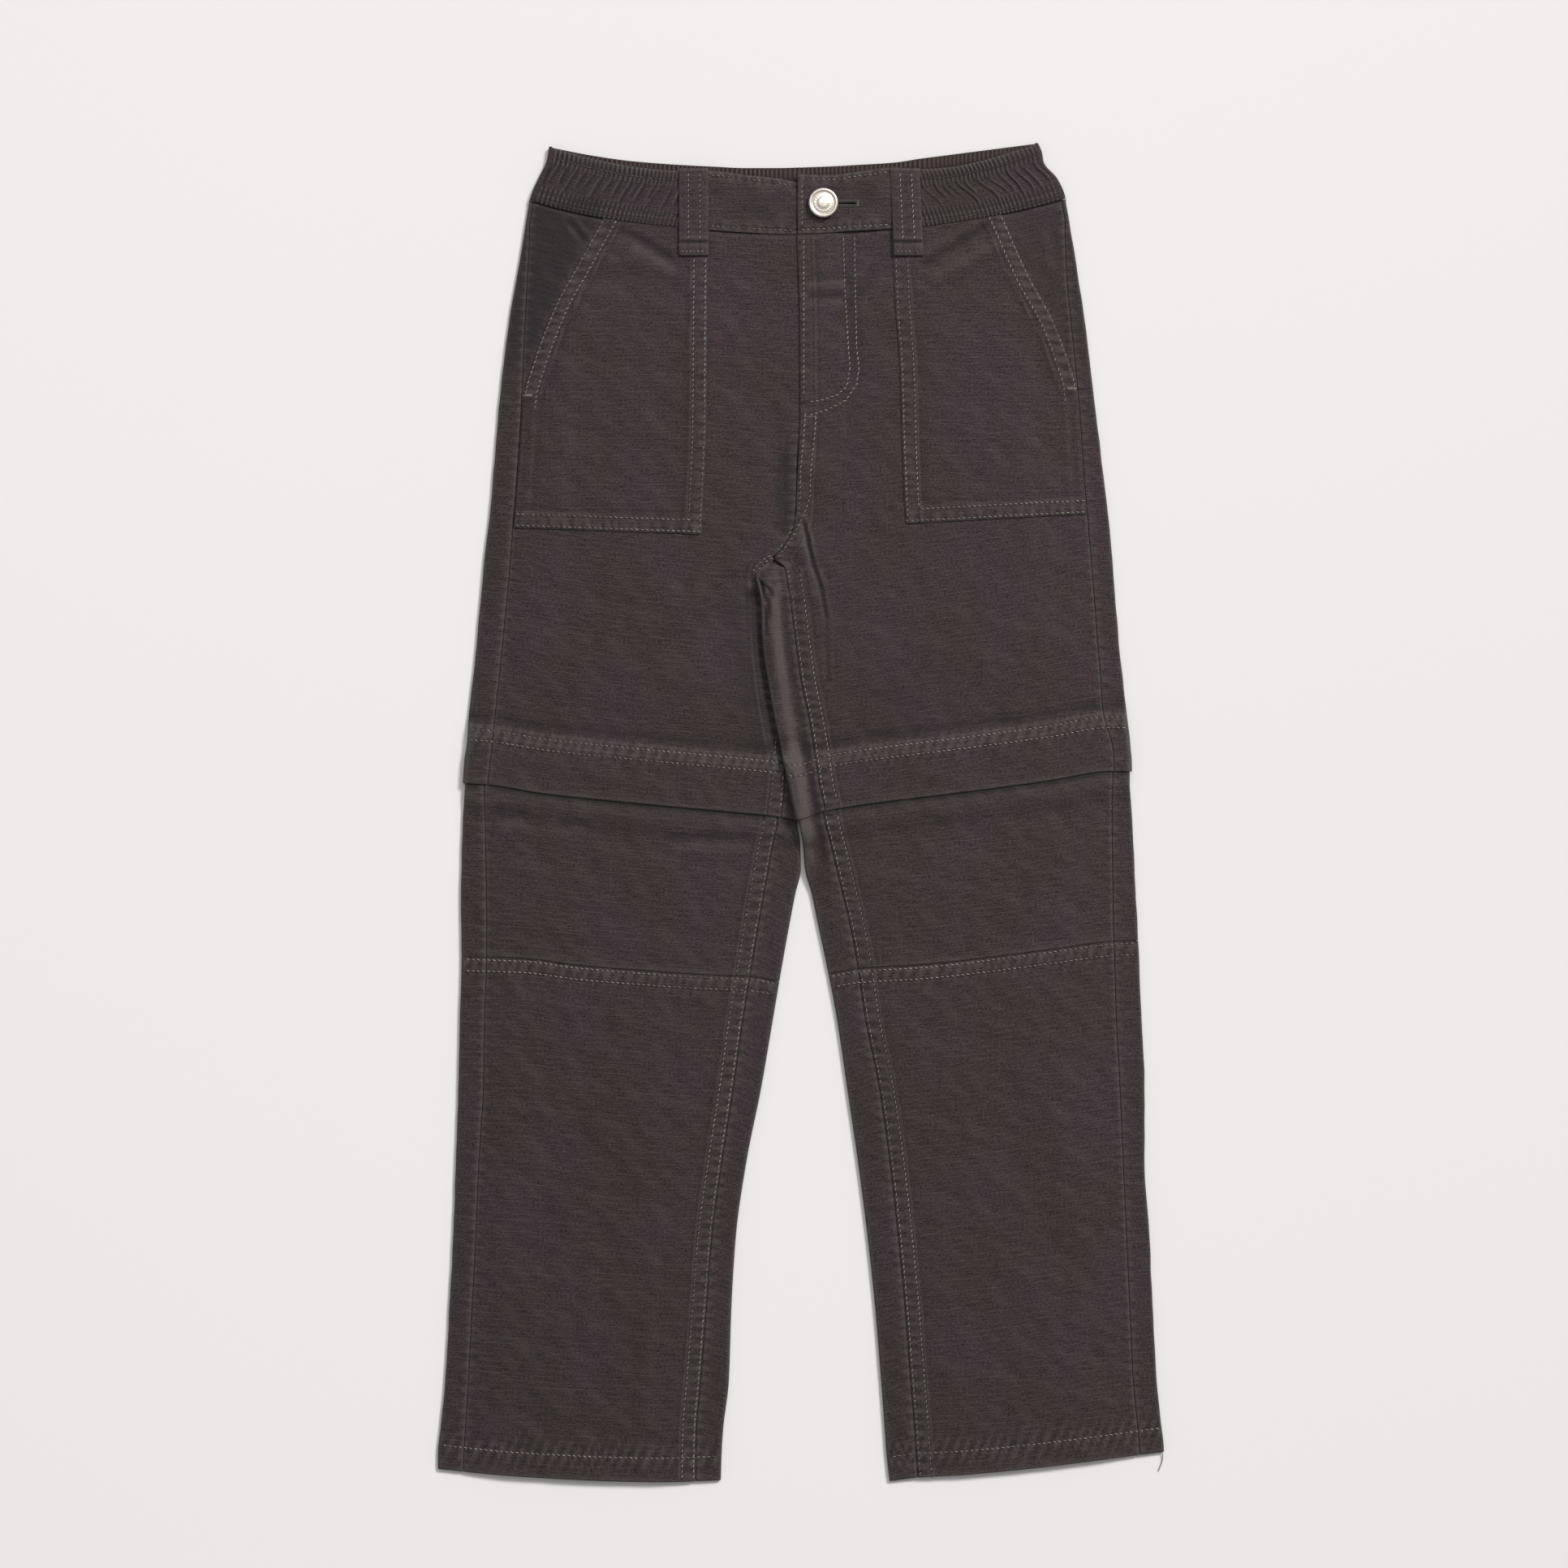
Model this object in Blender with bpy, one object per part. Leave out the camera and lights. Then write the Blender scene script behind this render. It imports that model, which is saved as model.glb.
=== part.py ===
"""A child's straight-leg trousers with knee flaps, laid flat on their back with the front up.

Each panel is one closed wall of cloth between an outer and an inner surface. The tables give millimetres:
"across" runs from the middle of the garment towards the photo's right, and "down" runs from the highest point
of the waist to the hems. The back panels wrap round the folds of each leg to the seams on the front, and the
middle leg's tube starts inside the upper leg's, under the knee flap. Left and right are the photo's.
"""

import math
from collections import namedtuple

import bpy
import numpy as np

MM = 0.001

# Cloth, seams and the heights of the laid stack, in mm
CLOTH = 1.0
BAND = 1.4
LOOP = 1.2
SEAM_GAP = 0.3
LAYER_GAP = 0.5
EDGE_HEIGHT = 2.6
FLAP_HEIGHT = 5.2
LEG_LAYER = CLOTH + SEAM_GAP
EDGE_EASE = 45.0

# Rise of the front panels between the folds, in mm
WAIST_RISE = 1.2
BODY_RISE = 2.4
FLAP_RISE = 0.6
LEG_RISE = 1.8
LEG_RISE_EASE = (2.0, 45.0)
BODY_RISE_EASE = (0.0, 60.0)
CREASE_INSET = 4.0

# Knee flap: how far the middle leg reaches up inside the upper one, in mm
HIDDEN_LEG = 23.0
FLAP_BUILD_UP = (-41.0, -27.0)
FLAP_FLATTENS = (-95.0, -41.0)
LEG_SETTLES = (3.5, 18.0)

# Crotch, in mm down, and the fly's underlap
CROTCH_DOWN = 240.0
FOLD_STARTS = 251.0
FOLD_FADE = 3.0
FLY_UNDERLAP = 8.0
FLY_ENDS = (140.0, 178.0)
FLY_RAISE = CLOTH + SEAM_GAP
FLY_EASE_ACROSS = (10.0, 35.0)
FLY_EASE_DOWN = (178.0, 213.0)

Edge = namedtuple("Edge", "down outer side inseam inner")
Point = namedtuple("Point", "across down")
Crease = namedtuple("Crease", "across down to_across to_down half_width height")
Waist = namedtuple("Waist", "across front_top back_top")
Under = namedtuple("Under", "down left_edge lift")

# Upper legs: outer fold, side seam, front panel's inner edge, and the back panel's inner edge
UPPER_LEFT = (
    Edge(34.0, -157.4, -157.0, -3.3, -3.3),
    Edge(58.0, -161.2, -157.4, -2.4, -3.0),
    Edge(77.0, -164.5, -158.4, -1.7, -3.0),
    Edge(105.0, -169.2, -159.8, -1.0, -3.0),
    Edge(152.0, -174.8, -161.9, -0.8, -3.0),
    Edge(200.0, -178.7, -165.0, -2.7, -4.0),
    Edge(217.0, -180.4, -166.4, -3.5, -6.0),
    Edge(230.5, -182.0, -167.4, -8.2, -10.0),
    Edge(240.0, -183.2, -168.1, -16.4, -15.5),
    Edge(245.5, -183.8, -168.6, -19.3, -17.4),
    Edge(251.0, -184.3, -169.0, -20.7, -17.2),
    Edge(264.0, -185.4, -170.2, -20.2, -17.2),
    Edge(278.0, -186.7, -171.6, -19.6, -16.8),
    Edge(293.0, -188.0, -173.0, -18.8, -16.0),
    Edge(311.0, -190.0, -174.9, -17.0, -14.1),
    Edge(330.0, -192.2, -177.0, -14.8, -11.3),
    Edge(349.0, -193.6, -178.7, -12.6, -8.0),
    Edge(358.0, -195.0, -179.8, -11.3, -6.5),
    Edge(370.0, -195.5, -180.9, -9.8, -4.5),
    Edge(380.0, -195.5, -180.9, -10.5, -2.8),
    Edge(392.0, -195.5, -180.9, -12.0, -1.4),
)
UPPER_RIGHT = (
    Edge(34.0, 153.2, 152.4, -3.3, -3.3),
    Edge(58.0, 157.4, 152.9, -2.4, -3.0),
    Edge(77.0, 160.4, 153.7, -1.7, -3.0),
    Edge(105.0, 164.5, 156.3, -1.0, -3.0),
    Edge(152.0, 170.1, 160.9, -0.8, -3.0),
    Edge(200.0, 175.9, 164.3, -2.7, -4.0),
    Edge(217.0, 177.9, 165.8, -3.5, -6.0),
    Edge(230.5, 179.2, 166.8, -8.2, -10.0),
    Edge(240.0, 180.0, 167.7, -16.4, -15.5),
    Edge(245.5, 180.5, 168.1, -14.0, -16.0),
    Edge(251.0, 180.9, 168.6, -10.6, -16.0),
    Edge(257.0, 181.3, 169.1, -7.2, -16.2),
    Edge(263.0, 181.8, 169.6, -6.3, -16.6),
    Edge(271.0, 182.4, 170.2, -5.3, -20.6),
    Edge(278.0, 183.0, 170.7, -4.5, -23.0),
    Edge(293.0, 184.2, 171.9, -2.5, -22.0),
    Edge(311.0, 186.3, 173.4, 0.0, -19.3),
    Edge(330.0, 188.4, 174.8, 4.0, -16.0),
    Edge(349.0, 190.5, 180.0, 7.3, -12.0),
    Edge(358.0, 191.3, 180.8, 8.6, -10.3),
    Edge(370.0, 191.3, 180.9, 10.3, -7.6),
    Edge(380.0, 191.3, 180.9, 12.6, -5.6),
    Edge(392.0, 191.3, 180.9, 15.3, -3.1),
)

# Middle and lower legs, from inside the upper leg to the hem
LOWER_LEFT = (
    Edge(347.0, -192.1, -181.4, -14.1, -10.0),
    Edge(358.0, -193.6, -182.4, -13.9, -8.4),
    Edge(370.0, -194.1, -183.1, -13.6, -5.9),
    Edge(380.0, -195.0, -183.2, -13.4, -4.2),
    Edge(392.0, -195.7, -182.8, -13.7, -2.8),
    Edge(405.0, -196.1, -182.6, -16.3, -0.6),
    Edge(420.0, -196.5, -182.3, -19.0, -0.2),
    Edge(434.0, -196.9, -182.1, -21.6, -3.3),
    Edge(448.0, -196.8, -181.9, -24.0, -6.0),
    Edge(471.0, -196.5, -182.0, -27.9, -10.2),
    Edge(505.0, -197.4, -183.1, -33.4, -16.0),
    Edge(546.0, -198.3, -183.8, -39.2, -23.0),
    Edge(589.0, -199.8, -186.4, -45.8, -31.6),
    Edge(631.0, -201.2, -188.2, -51.5, -37.6),
    Edge(673.0, -203.5, -190.3, -54.8, -40.3),
    Edge(716.0, -205.9, -192.5, -58.2, -41.8),
    Edge(744.0, -208.7, -194.2, -60.5, -45.1),
    Edge(758.0, -210.1, -195.0, -60.8, -46.0),
    Edge(774.3, -210.1, -195.6, -60.9, -46.5),
)
LOWER_RIGHT = (
    Edge(340.0, 187.9, 179.4, 6.0, -12.0),
    Edge(358.0, 189.9, 180.2, 9.0, -8.8),
    Edge(370.0, 190.1, 180.2, 10.5, -6.1),
    Edge(380.0, 190.8, 179.9, 12.0, -4.1),
    Edge(392.0, 191.6, 179.9, 13.6, -1.5),
    Edge(405.0, 192.2, 180.0, 17.0, 0.9),
    Edge(420.0, 193.0, 180.2, 20.6, 2.3),
    Edge(434.0, 193.6, 180.4, 24.0, 6.1),
    Edge(448.0, 194.4, 180.5, 27.4, 9.0),
    Edge(471.0, 195.5, 181.3, 31.9, 13.9),
    Edge(505.0, 196.9, 182.3, 36.9, 20.5),
    Edge(546.0, 198.8, 184.4, 45.1, 26.6),
    Edge(589.0, 198.8, 186.3, 51.3, 32.9),
    Edge(631.0, 201.6, 188.2, 56.0, 38.3),
    Edge(673.0, 203.5, 190.1, 60.0, 42.8),
    Edge(716.0, 205.9, 192.1, 63.3, 46.3),
    Edge(744.0, 208.7, 194.8, 65.6, 48.4),
    Edge(757.0, 210.1, 195.8, 66.4, 49.3),
    Edge(774.3, 210.1, 195.9, 67.8, 51.2),
)

# Seam and edge lines that run across a leg
WAIST_SEAM = (
    Point(-157.0, 32.8), Point(-146.0, 36.4), Point(-120.0, 42.6), Point(-98.0, 46.0),
    Point(-71.0, 49.0), Point(-40.0, 51.5), Point(-4.0, 53.0), Point(30.0, 51.2),
    Point(53.0, 49.8), Point(71.0, 48.4), Point(91.0, 45.6), Point(115.0, 41.6),
    Point(139.0, 36.0), Point(153.0, 32.0),
)
FLAP_LEFT = (
    Point(-195.5, 370.2), Point(-181.0, 371.0), Point(-148.0, 376.2), Point(-98.0, 381.4),
    Point(-42.0, 386.6), Point(-14.0, 389.4), Point(-1.4, 392.0),
)
FLAP_RIGHT = (
    Point(-42.0, 386.6), Point(-14.0, 389.4), Point(-3.3, 391.3), Point(14.0, 386.2), Point(38.0, 382.2),
    Point(91.0, 375.6), Point(141.0, 369.0), Point(180.0, 363.2), Point(191.3, 363.4),
)
KNEE_LEFT = (
    Point(-196.5, 470.4), Point(-160.0, 471.5), Point(-129.0, 475.4), Point(-90.0, 478.6),
    Point(-60.0, 480.6), Point(-30.0, 482.0), Point(-12.0, 485.0),
)
KNEE_RIGHT = (
    Point(15.0, 481.0), Point(32.0, 477.5), Point(71.0, 475.0), Point(119.0, 469.6),
    Point(149.0, 465.6), Point(179.0, 461.8), Point(195.5, 461.0),
)
HEM_LEFT = (
    Point(-210.1, 766.8), Point(-184.0, 769.4), Point(-154.0, 771.6), Point(-107.0, 773.8),
    Point(-79.0, 774.3), Point(-46.5, 773.4),
)
HEM_RIGHT = (
    Point(51.2, 773.9), Point(67.0, 771.8), Point(94.0, 770.1), Point(138.0, 765.8),
    Point(185.0, 760.0), Point(210.1, 756.9),
)

# Waistband: top edges of the front and of the back behind it, and its side folds from top to bottom
WAIST_LEFT = (
    Waist(-145.9, 2.1, 2.1), Waist(-122.0, 8.7, 6.8), Waist(-98.0, 13.7, 10.2),
    Waist(-71.0, 16.2, 12.3), Waist(-50.0, 16.4, 13.4), Waist(-32.0, 18.6, 14.2),
    Waist(-14.0, 20.4, 14.2), Waist(-1.9, 22.8, 13.9), Waist(25.0, 26.0, 12.8),
)
WAIST_RIGHT = (
    Waist(-1.9, 18.1, 13.9), Waist(18.0, 18.8, 13.2), Waist(30.0, 17.2, 12.5),
    Waist(54.0, 14.5, 11.0), Waist(68.0, 15.2, 8.9), Waist(85.0, 14.3, 6.7),
    Waist(102.0, 11.0, 4.5), Waist(120.0, 5.8, 2.2), Waist(137.2, 0.3, 0.0),
)
SIDE_FOLD_LEFT = ((0.0, -145.9), (0.2, -146.9), (0.55, -151.8), (0.8, -155.1), (1.0, -157.0))
SIDE_FOLD_RIGHT = ((0.0, 137.2), (0.15, 139.4), (0.3, 140.3), (0.6, 148.0), (0.9, 152.3), (1.0, 153.0))
BAND_ROWS = (0.0, 0.35, 1.0)
BAND_HEIGHT = 4.0
BAND_RISE = 1.0
BAND_EASE = 50.0
GATHER_DEPTH = 0.5
BACK_FOOT_GAP = 0.3
FRONT_GATHERS = 26
BACK_GATHERS = 96
LOOP_LEFT_AT = -62.0
LOOP_RIGHT_AT = 60.0
UNDERLAP_END = 25.0
OVERLAP_START = -1.9
LEFT_BAND_TOP = ((-62.0, 5.0), (-32.0, 4.8), (-14.0, 4.2), (-5.0, 3.8), (25.0, 3.8))
RIGHT_BAND_TOP = ((-1.9, 5.5), (35.0, 5.5), (60.0, 5.0))

# Where the right leg lies over the left one: the left leg's inner fold, and how far that lifts the right leg
OVER_LEFT_LEG = (
    Under(245.0, -17.4, 0.0),
    Under(251.0, -17.2, 0.0),
    Under(263.0, -17.2, 3.1),
    Under(278.0, -16.8, 3.1),
    Under(311.0, -14.1, 3.1),
    Under(343.0, -9.0, 3.1),
    Under(357.0, -6.6, 5.8),
    Under(380.0, -2.8, 5.8),
    Under(395.0, -1.4, 5.8),
    Under(408.0, -0.4, 3.1),
    Under(420.0, -0.2, 1.5),
    Under(433.0, -3.0, 0.0),
)
LIFT_FADES = (1.5, 16.0)

# Largest folds: a trough has a negative height
CREASES = (
    Crease(2.0, 216.0, 9.0, 250.0, 7.0, -1.0),
    Crease(9.0, 250.0, 16.0, 305.0, 7.0, -1.0),
    Crease(-40.0, 262.0, -95.0, 296.0, 12.0, -0.6),
    Crease(-172.0, 392.0, -125.0, 388.0, 9.0, 0.6),
    Crease(-74.0, 402.0, -26.0, 400.0, 9.0, 0.6),
    Crease(60.0, 300.0, 120.0, 330.0, 14.0, -0.5),
    Crease(-120.0, 560.0, -150.0, 640.0, 16.0, -0.6),
    Crease(120.0, 540.0, 150.0, 640.0, 16.0, -0.6),
)
CREASE_EASE = 20.0

# Patch pockets: the free edges, given as across at each down
POCKET_LEFT_OUTER = ((43.0, -114.8), (71.0, -130.3), (93.0, -142.4), (127.0, -155.6), (147.0, -161.2),
                     (176.0, -163.2), (200.0, -165.1), (223.0, -166.9))
POCKET_LEFT_INNER = ((50.0, -53.8), (105.0, -54.2), (165.0, -54.7), (218.0, -56.9), (227.0, -57.1))
POCKET_LEFT_BOTTOM = ((-167.0, 222.5), (-57.0, 226.3))
POCKET_RIGHT_OUTER = ((40.0, 116.0), (77.0, 132.5), (101.0, 145.7), (125.0, 155.1), (142.0, 159.8),
                      (176.0, 162.6), (200.0, 164.2), (216.0, 165.6))
POCKET_RIGHT_INNER = ((48.0, 53.0), (65.0, 53.3), (95.0, 54.5), (127.0, 56.9), (180.0, 58.5), (221.0, 60.4))
POCKET_RIGHT_BOTTOM = ((60.0, 220.2), (166.0, 214.6))
POCKET_FROM = 60.0
POCKET_DEPTH = 160.0
POCKET_ROWS = 10
POCKET_COLUMNS = 9
POCKET_SEAM_INSET = 0.8

# Belt loops: left and right side at the top and at the foot
LOOP_WIDTH = 17.0
LOOP_TOP_DOWN = 15.0
LOOP_FOOT_DOWN = 65.3
LOOP_SHARES = (0.0, 0.3, 0.55, 0.68, 0.8, 0.9, 1.0)
LOOP_COLUMNS = 4
LOOP_SHAPE = ((0.0, 5.5), (0.55, 5.5), (0.7, 5.7), (0.8, 6.0), (1.0, 6.2))
LOOP_LEAN_RIGHT = 2.2

# Button and buttonhole
BUTTON_AT = Point(12.8, 35.2)
BUTTON_RADIUS = 8.5
SHANK_RADIUS = 2.0
SHANK_FROM = 4.1
HEAD_FROM = 5.9
HEAD_HEIGHT = 3.4
SHANK_HOLE = 2.4
CUTTER_HEIGHTS = (2.0, 8.0)
SLIT_HALF_WIDTH = 0.8
SLIT_END = 31.5

# Sampling of the walls
UPPER_ROWS = (53.0, 75.0, 105.0, 140.0, 178.0, 213.0, 230.0, 240.0, 245.5, 251.0, 257.0, 263.5,
              278.0, 298.0, 322.0, 350.5, 364.0, 378.0, 392.0)
MIDDLE_ROWS = (0.0, 0.215, 0.34, 0.5, 0.75, 1.0)
LOWER_ROWS = (0.0, 0.14, 0.28, 0.42, 0.56, 0.7, 0.85, 1.0)
FRONT_COLUMNS = (0.0, 0.04, 0.11, 0.21, 0.34, 0.5, 0.66, 0.79, 0.89, 0.96, 1.0)
FOLD_STEPS = 4
FOLD_APPROACH = (24.0, 18.0, 12.0, 8.0, 4.0)
LAP_APPROACH = (17.0, 12.5, 8.5, 4.5, 0.8)
LAP_DOWNS = (254.0, 436.0)
UPPER_FLOOR_POINTS = 5
LEG_FLOOR_POINTS = 2
CROTCH_REFERENCE = -16.0
TURN_AT_CROTCH = ((240.0, 0.0), (245.5, 90.0), (251.0, 180.0))
SHORTEST_TAIL = 1.0
STANDING_TAIL = 1.5

CLOTH_COLOUR = (0.045, 0.036, 0.035, 1.0)
METAL_COLOUR = (0.62, 0.6, 0.55, 1.0)


class Line:
    """A smooth line through (at, value) pairs that never overshoots them, level beyond its ends."""

    def __init__(self, pairs):
        self.at = np.array([pair[0] for pair in pairs], float)
        self.value = np.array([pair[1] for pair in pairs], float)
        step = np.diff(self.value) / np.diff(self.at)
        slope = np.concatenate([step[:1], np.zeros(len(step) - 1), step[-1:]])
        for i in range(1, len(step)):
            if step[i - 1] * step[i] > 0:
                slope[i] = 2 * step[i - 1] * step[i] / (step[i - 1] + step[i])
        self.slope = slope

    def __call__(self, at):
        at = np.clip(at, self.at[0], self.at[-1])
        i = np.clip(np.searchsorted(self.at, at) - 1, 0, len(self.at) - 2)
        span = self.at[i + 1] - self.at[i]
        t = (at - self.at[i]) / span
        start = (2 * t**3 - 3 * t**2 + 1) * self.value[i] + (t**3 - 2 * t**2 + t) * span * self.slope[i]
        end = (3 * t**2 - 2 * t**3) * self.value[i + 1] + (t**3 - t**2) * span * self.slope[i + 1]
        return start + end


def ease(value, low, high):
    """0 up to low, 1 from high, smooth between."""
    t = np.clip((value - low) / (high - low), 0.0, 1.0)
    return t * t * (3 - 2 * t)


def crease_height(across, down):
    """Sum of the fold table's soft ridges and troughs at a place."""
    total = np.zeros(np.broadcast(across, down).shape)
    for fold in CREASES:
        run = np.array([fold.to_across - fold.across, fold.to_down - fold.down])
        length = float(np.hypot(*run))
        run = run / length
        along = (across - fold.across) * run[0] + (down - fold.down) * run[1]
        aside = (down - fold.down) * run[0] - (across - fold.across) * run[1]
        ends = ease(along, -fold.half_width, fold.half_width)
        ends = ends * (1 - ease(along, length - fold.half_width, length + fold.half_width))
        total = total + fold.height * ends * np.exp(-((aside / fold.half_width) ** 2))
    return total


left_edge_under = Line([(row.down, row.left_edge) for row in OVER_LEFT_LEG])
lift_over_left = Line([(row.down, row.lift) for row in OVER_LEFT_LEG])


def right_leg_lift(across, down):
    """Height of the right leg's underside where it climbs onto the left leg's inner fold."""
    past = across - left_edge_under(down)
    return lift_over_left(down) * (1 - ease(past, *LIFT_FADES))


class Leg:
    """One tube of a leg: its four lines down the leg, the two lines that end it, and its heights."""

    def __init__(self, sign, edges, top, bottom, flap=None, inside_flap=False):
        self.sign = sign
        self.outer = Line([(row.down, row.outer) for row in edges])
        self.side = Line([(row.down, row.side) for row in edges])
        self.inseam = Line([(row.down, row.inseam) for row in edges])
        self.inner = Line([(row.down, row.inner) for row in edges])
        self.top_line = top
        self.bottom_line = bottom
        self.flap = flap
        self.inside_flap = inside_flap

    def down_at(self, share, across):
        return (1 - share) * self.top_line(across) + share * self.bottom_line(across)

    def meet(self, line, share):
        """Where a line down the leg crosses the row at this share of the tube's length."""
        across = float(line(self.down_at(share, 0.0)))
        for _ in range(8):
            across = float(line(self.down_at(share, across)))
        return across

    def below_flap(self, across, down):
        return down - self.flap(across)

    def floor(self, across, down):
        """Height of the tube's underside."""
        height = np.zeros(np.broadcast(across, down).shape)
        if self.sign > 0:
            height = height + right_leg_lift(across, down)
        if self.inside_flap:
            height = height + LEG_LAYER * (1 - ease(self.below_flap(across, down), *LEG_SETTLES))
        return height

    def edge_height(self, across, down):
        """Height of the folded edge above its underside."""
        height = np.full(np.broadcast(across, down).shape, EDGE_HEIGHT)
        if self.flap and not self.inside_flap:
            build = np.clip((self.below_flap(across, down) - FLAP_BUILD_UP[0]) /
                            (FLAP_BUILD_UP[1] - FLAP_BUILD_UP[0]), 0, 1)
            height = height + (FLAP_HEIGHT - EDGE_HEIGHT) * build
        return height

    def rise(self, across, down):
        """How much the front stands up between the folds."""
        if self.flap is None:
            return LEG_RISE
        below = self.below_flap(across, down)
        if self.inside_flap:
            return FLAP_RISE + (LEG_RISE - FLAP_RISE) * ease(below, *LEG_RISE_EASE)
        from_waist = down - self.top_line(across)
        full = WAIST_RISE + (BODY_RISE - WAIST_RISE) * ease(from_waist, *BODY_RISE_EASE)
        return full + (FLAP_RISE - full) * ease(below, *FLAP_FLATTENS)

    def top(self, across, down):
        """Height of the outer face of what lies on top: the wraps and the front panel."""
        radius = self.edge_height(across, down) / 2
        from_outer = self.sign * (self.outer(down) - across) - radius
        from_inner = self.sign * (across - self.inner(down)) - radius
        from_inner = from_inner + FOLD_FADE * np.maximum(0, FOLD_STARTS - down)
        middle = ease(from_outer, 0.0, EDGE_EASE) * ease(from_inner, 0.0, EDGE_EASE)
        creased = ease(from_outer, 0.0, CREASE_EASE) * ease(from_inner, CREASE_INSET, CREASE_EASE + CREASE_INSET)
        height = self.floor(across, down) + self.edge_height(across, down)
        return height + self.rise(across, down) * middle + crease_height(across, down) * creased

    def side_end(self, share):
        """Across of the side seam, which stays clear of the fold's bend."""
        across = self.meet(self.side, share)
        outer = self.meet(self.outer, share)
        bend = float(self.edge_height(outer, self.down_at(share, outer))) / 2 + SHORTEST_TAIL
        return self.sign * min(self.sign * across, self.sign * outer - bend)


def fly_raise(across, down):
    """The right front lies over the left one's underlap along the fly."""
    return FLY_RAISE * (1 - ease(across, *FLY_EASE_ACROSS)) * (1 - ease(down, *FLY_EASE_DOWN))


def point(across, down, height):
    return (float(across), -float(down), float(height))


def wall(name, outer, inner, colour=CLOTH_COLOUR):
    """A closed wall between two grids of points that match row by row."""
    rows, columns = len(outer), len(outer[0])
    vertices = [p for grid in (outer, inner) for row in grid for p in row]
    offset = rows * columns

    def at(row, column, inside=False):
        return row * columns + column + (offset if inside else 0)

    faces = []
    for r in range(rows - 1):
        for c in range(columns - 1):
            faces.append((at(r, c), at(r + 1, c), at(r + 1, c + 1), at(r, c + 1)))
            faces.append((at(r, c, True), at(r, c + 1, True), at(r + 1, c + 1, True), at(r + 1, c, True)))
    for r in range(rows - 1):
        last = columns - 1
        faces.append((at(r, 0), at(r, 0, True), at(r + 1, 0, True), at(r + 1, 0)))
        faces.append((at(r, last), at(r + 1, last), at(r + 1, last, True), at(r, last, True)))
    for c in range(columns - 1):
        last = rows - 1
        faces.append((at(0, c), at(0, c + 1), at(0, c + 1, True), at(0, c, True)))
        faces.append((at(last, c), at(last, c, True), at(last, c + 1, True), at(last, c + 1)))
    return solid(name, vertices, faces, colour)


def signed_volume(vertices, faces):
    points = np.array(vertices)
    total = 0.0
    for face in faces:
        for second, third in zip(face[1:-1], face[2:]):
            total += np.dot(points[face[0]], np.cross(points[second], points[third]))
    return total / 6


def cloth_material(name, colour, metallic=0.0, roughness=0.9):
    material = bpy.data.materials.new(name)
    material.use_nodes = True
    shader = material.node_tree.nodes["Principled BSDF"]
    shader.inputs["Base Color"].default_value = colour
    shader.inputs["Metallic"].default_value = metallic
    shader.inputs["Roughness"].default_value = roughness
    return material


def solid(name, vertices, faces, colour, metallic=0.0, roughness=0.9):
    """A mesh object in metres from points in mm, its faces turned outwards."""
    if signed_volume(vertices, faces) < 0:
        faces = [tuple(reversed(face)) for face in faces]
    mesh = bpy.data.meshes.new(name)
    mesh.from_pydata([tuple(MM * value for value in p) for p in vertices], [], faces)
    mesh.materials.append(cloth_material(name, colour, metallic, roughness))
    mesh.shade_smooth()
    mesh.set_sharp_from_angle(angle=math.radians(35))
    made = bpy.data.objects.new(name, mesh)
    bpy.context.scene.collection.objects.link(made)
    return made


def front_panel(name, leg, shares, underlap=None, raise_by=None):
    """A front between the side seam and the centre seam or inseam."""
    outer, inner = [], []
    for share in shares:
        start = leg.side_end(share) - leg.sign * SEAM_GAP / 2
        end = leg.meet(leg.inseam, share)
        end_down = float(leg.down_at(share, end))
        reach = FLY_UNDERLAP * float(1 - ease(end_down, *FLY_ENDS)) if underlap else 0.0
        end = end + leg.sign * SEAM_GAP / 2 + reach
        across = start + (end - start) * np.array(FRONT_COLUMNS)
        down = leg.down_at(share, across)
        height = leg.top(across, down)
        if raise_by:
            height = height + raise_by(across, down)
        outer.append([point(a, d, h) for a, d, h in zip(across, down, height)])
        inner.append([point(a, d, h - CLOTH) for a, d, h in zip(across, down, height)])
    return wall(name, outer, inner)


def outer_wrap(leg, share):
    """Both faces of a back panel from the side seam round the outer fold to its underside."""
    sign = leg.sign
    edge = leg.meet(leg.outer, share)
    seam = leg.side_end(share) + sign * SEAM_GAP / 2
    edge_down = leg.down_at(share, edge)
    radius = float(leg.edge_height(edge, edge_down)) / 2
    centre = edge - sign * radius
    centre_height = float(leg.floor(edge, edge_down)) + radius
    faces = ([], [])
    for across in np.linspace(seam, centre, 3)[:-1]:
        height = float(leg.top(across, leg.down_at(share, across)))
        faces[0].append((across, height))
        faces[1].append((across, height - CLOTH))
    for turn in np.linspace(0, math.pi, FOLD_STEPS + 1):
        for face, reach in zip(faces, (radius, radius - CLOTH)):
            face.append((centre + sign * reach * math.sin(turn), centre_height + reach * math.cos(turn)))
    return faces


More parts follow.
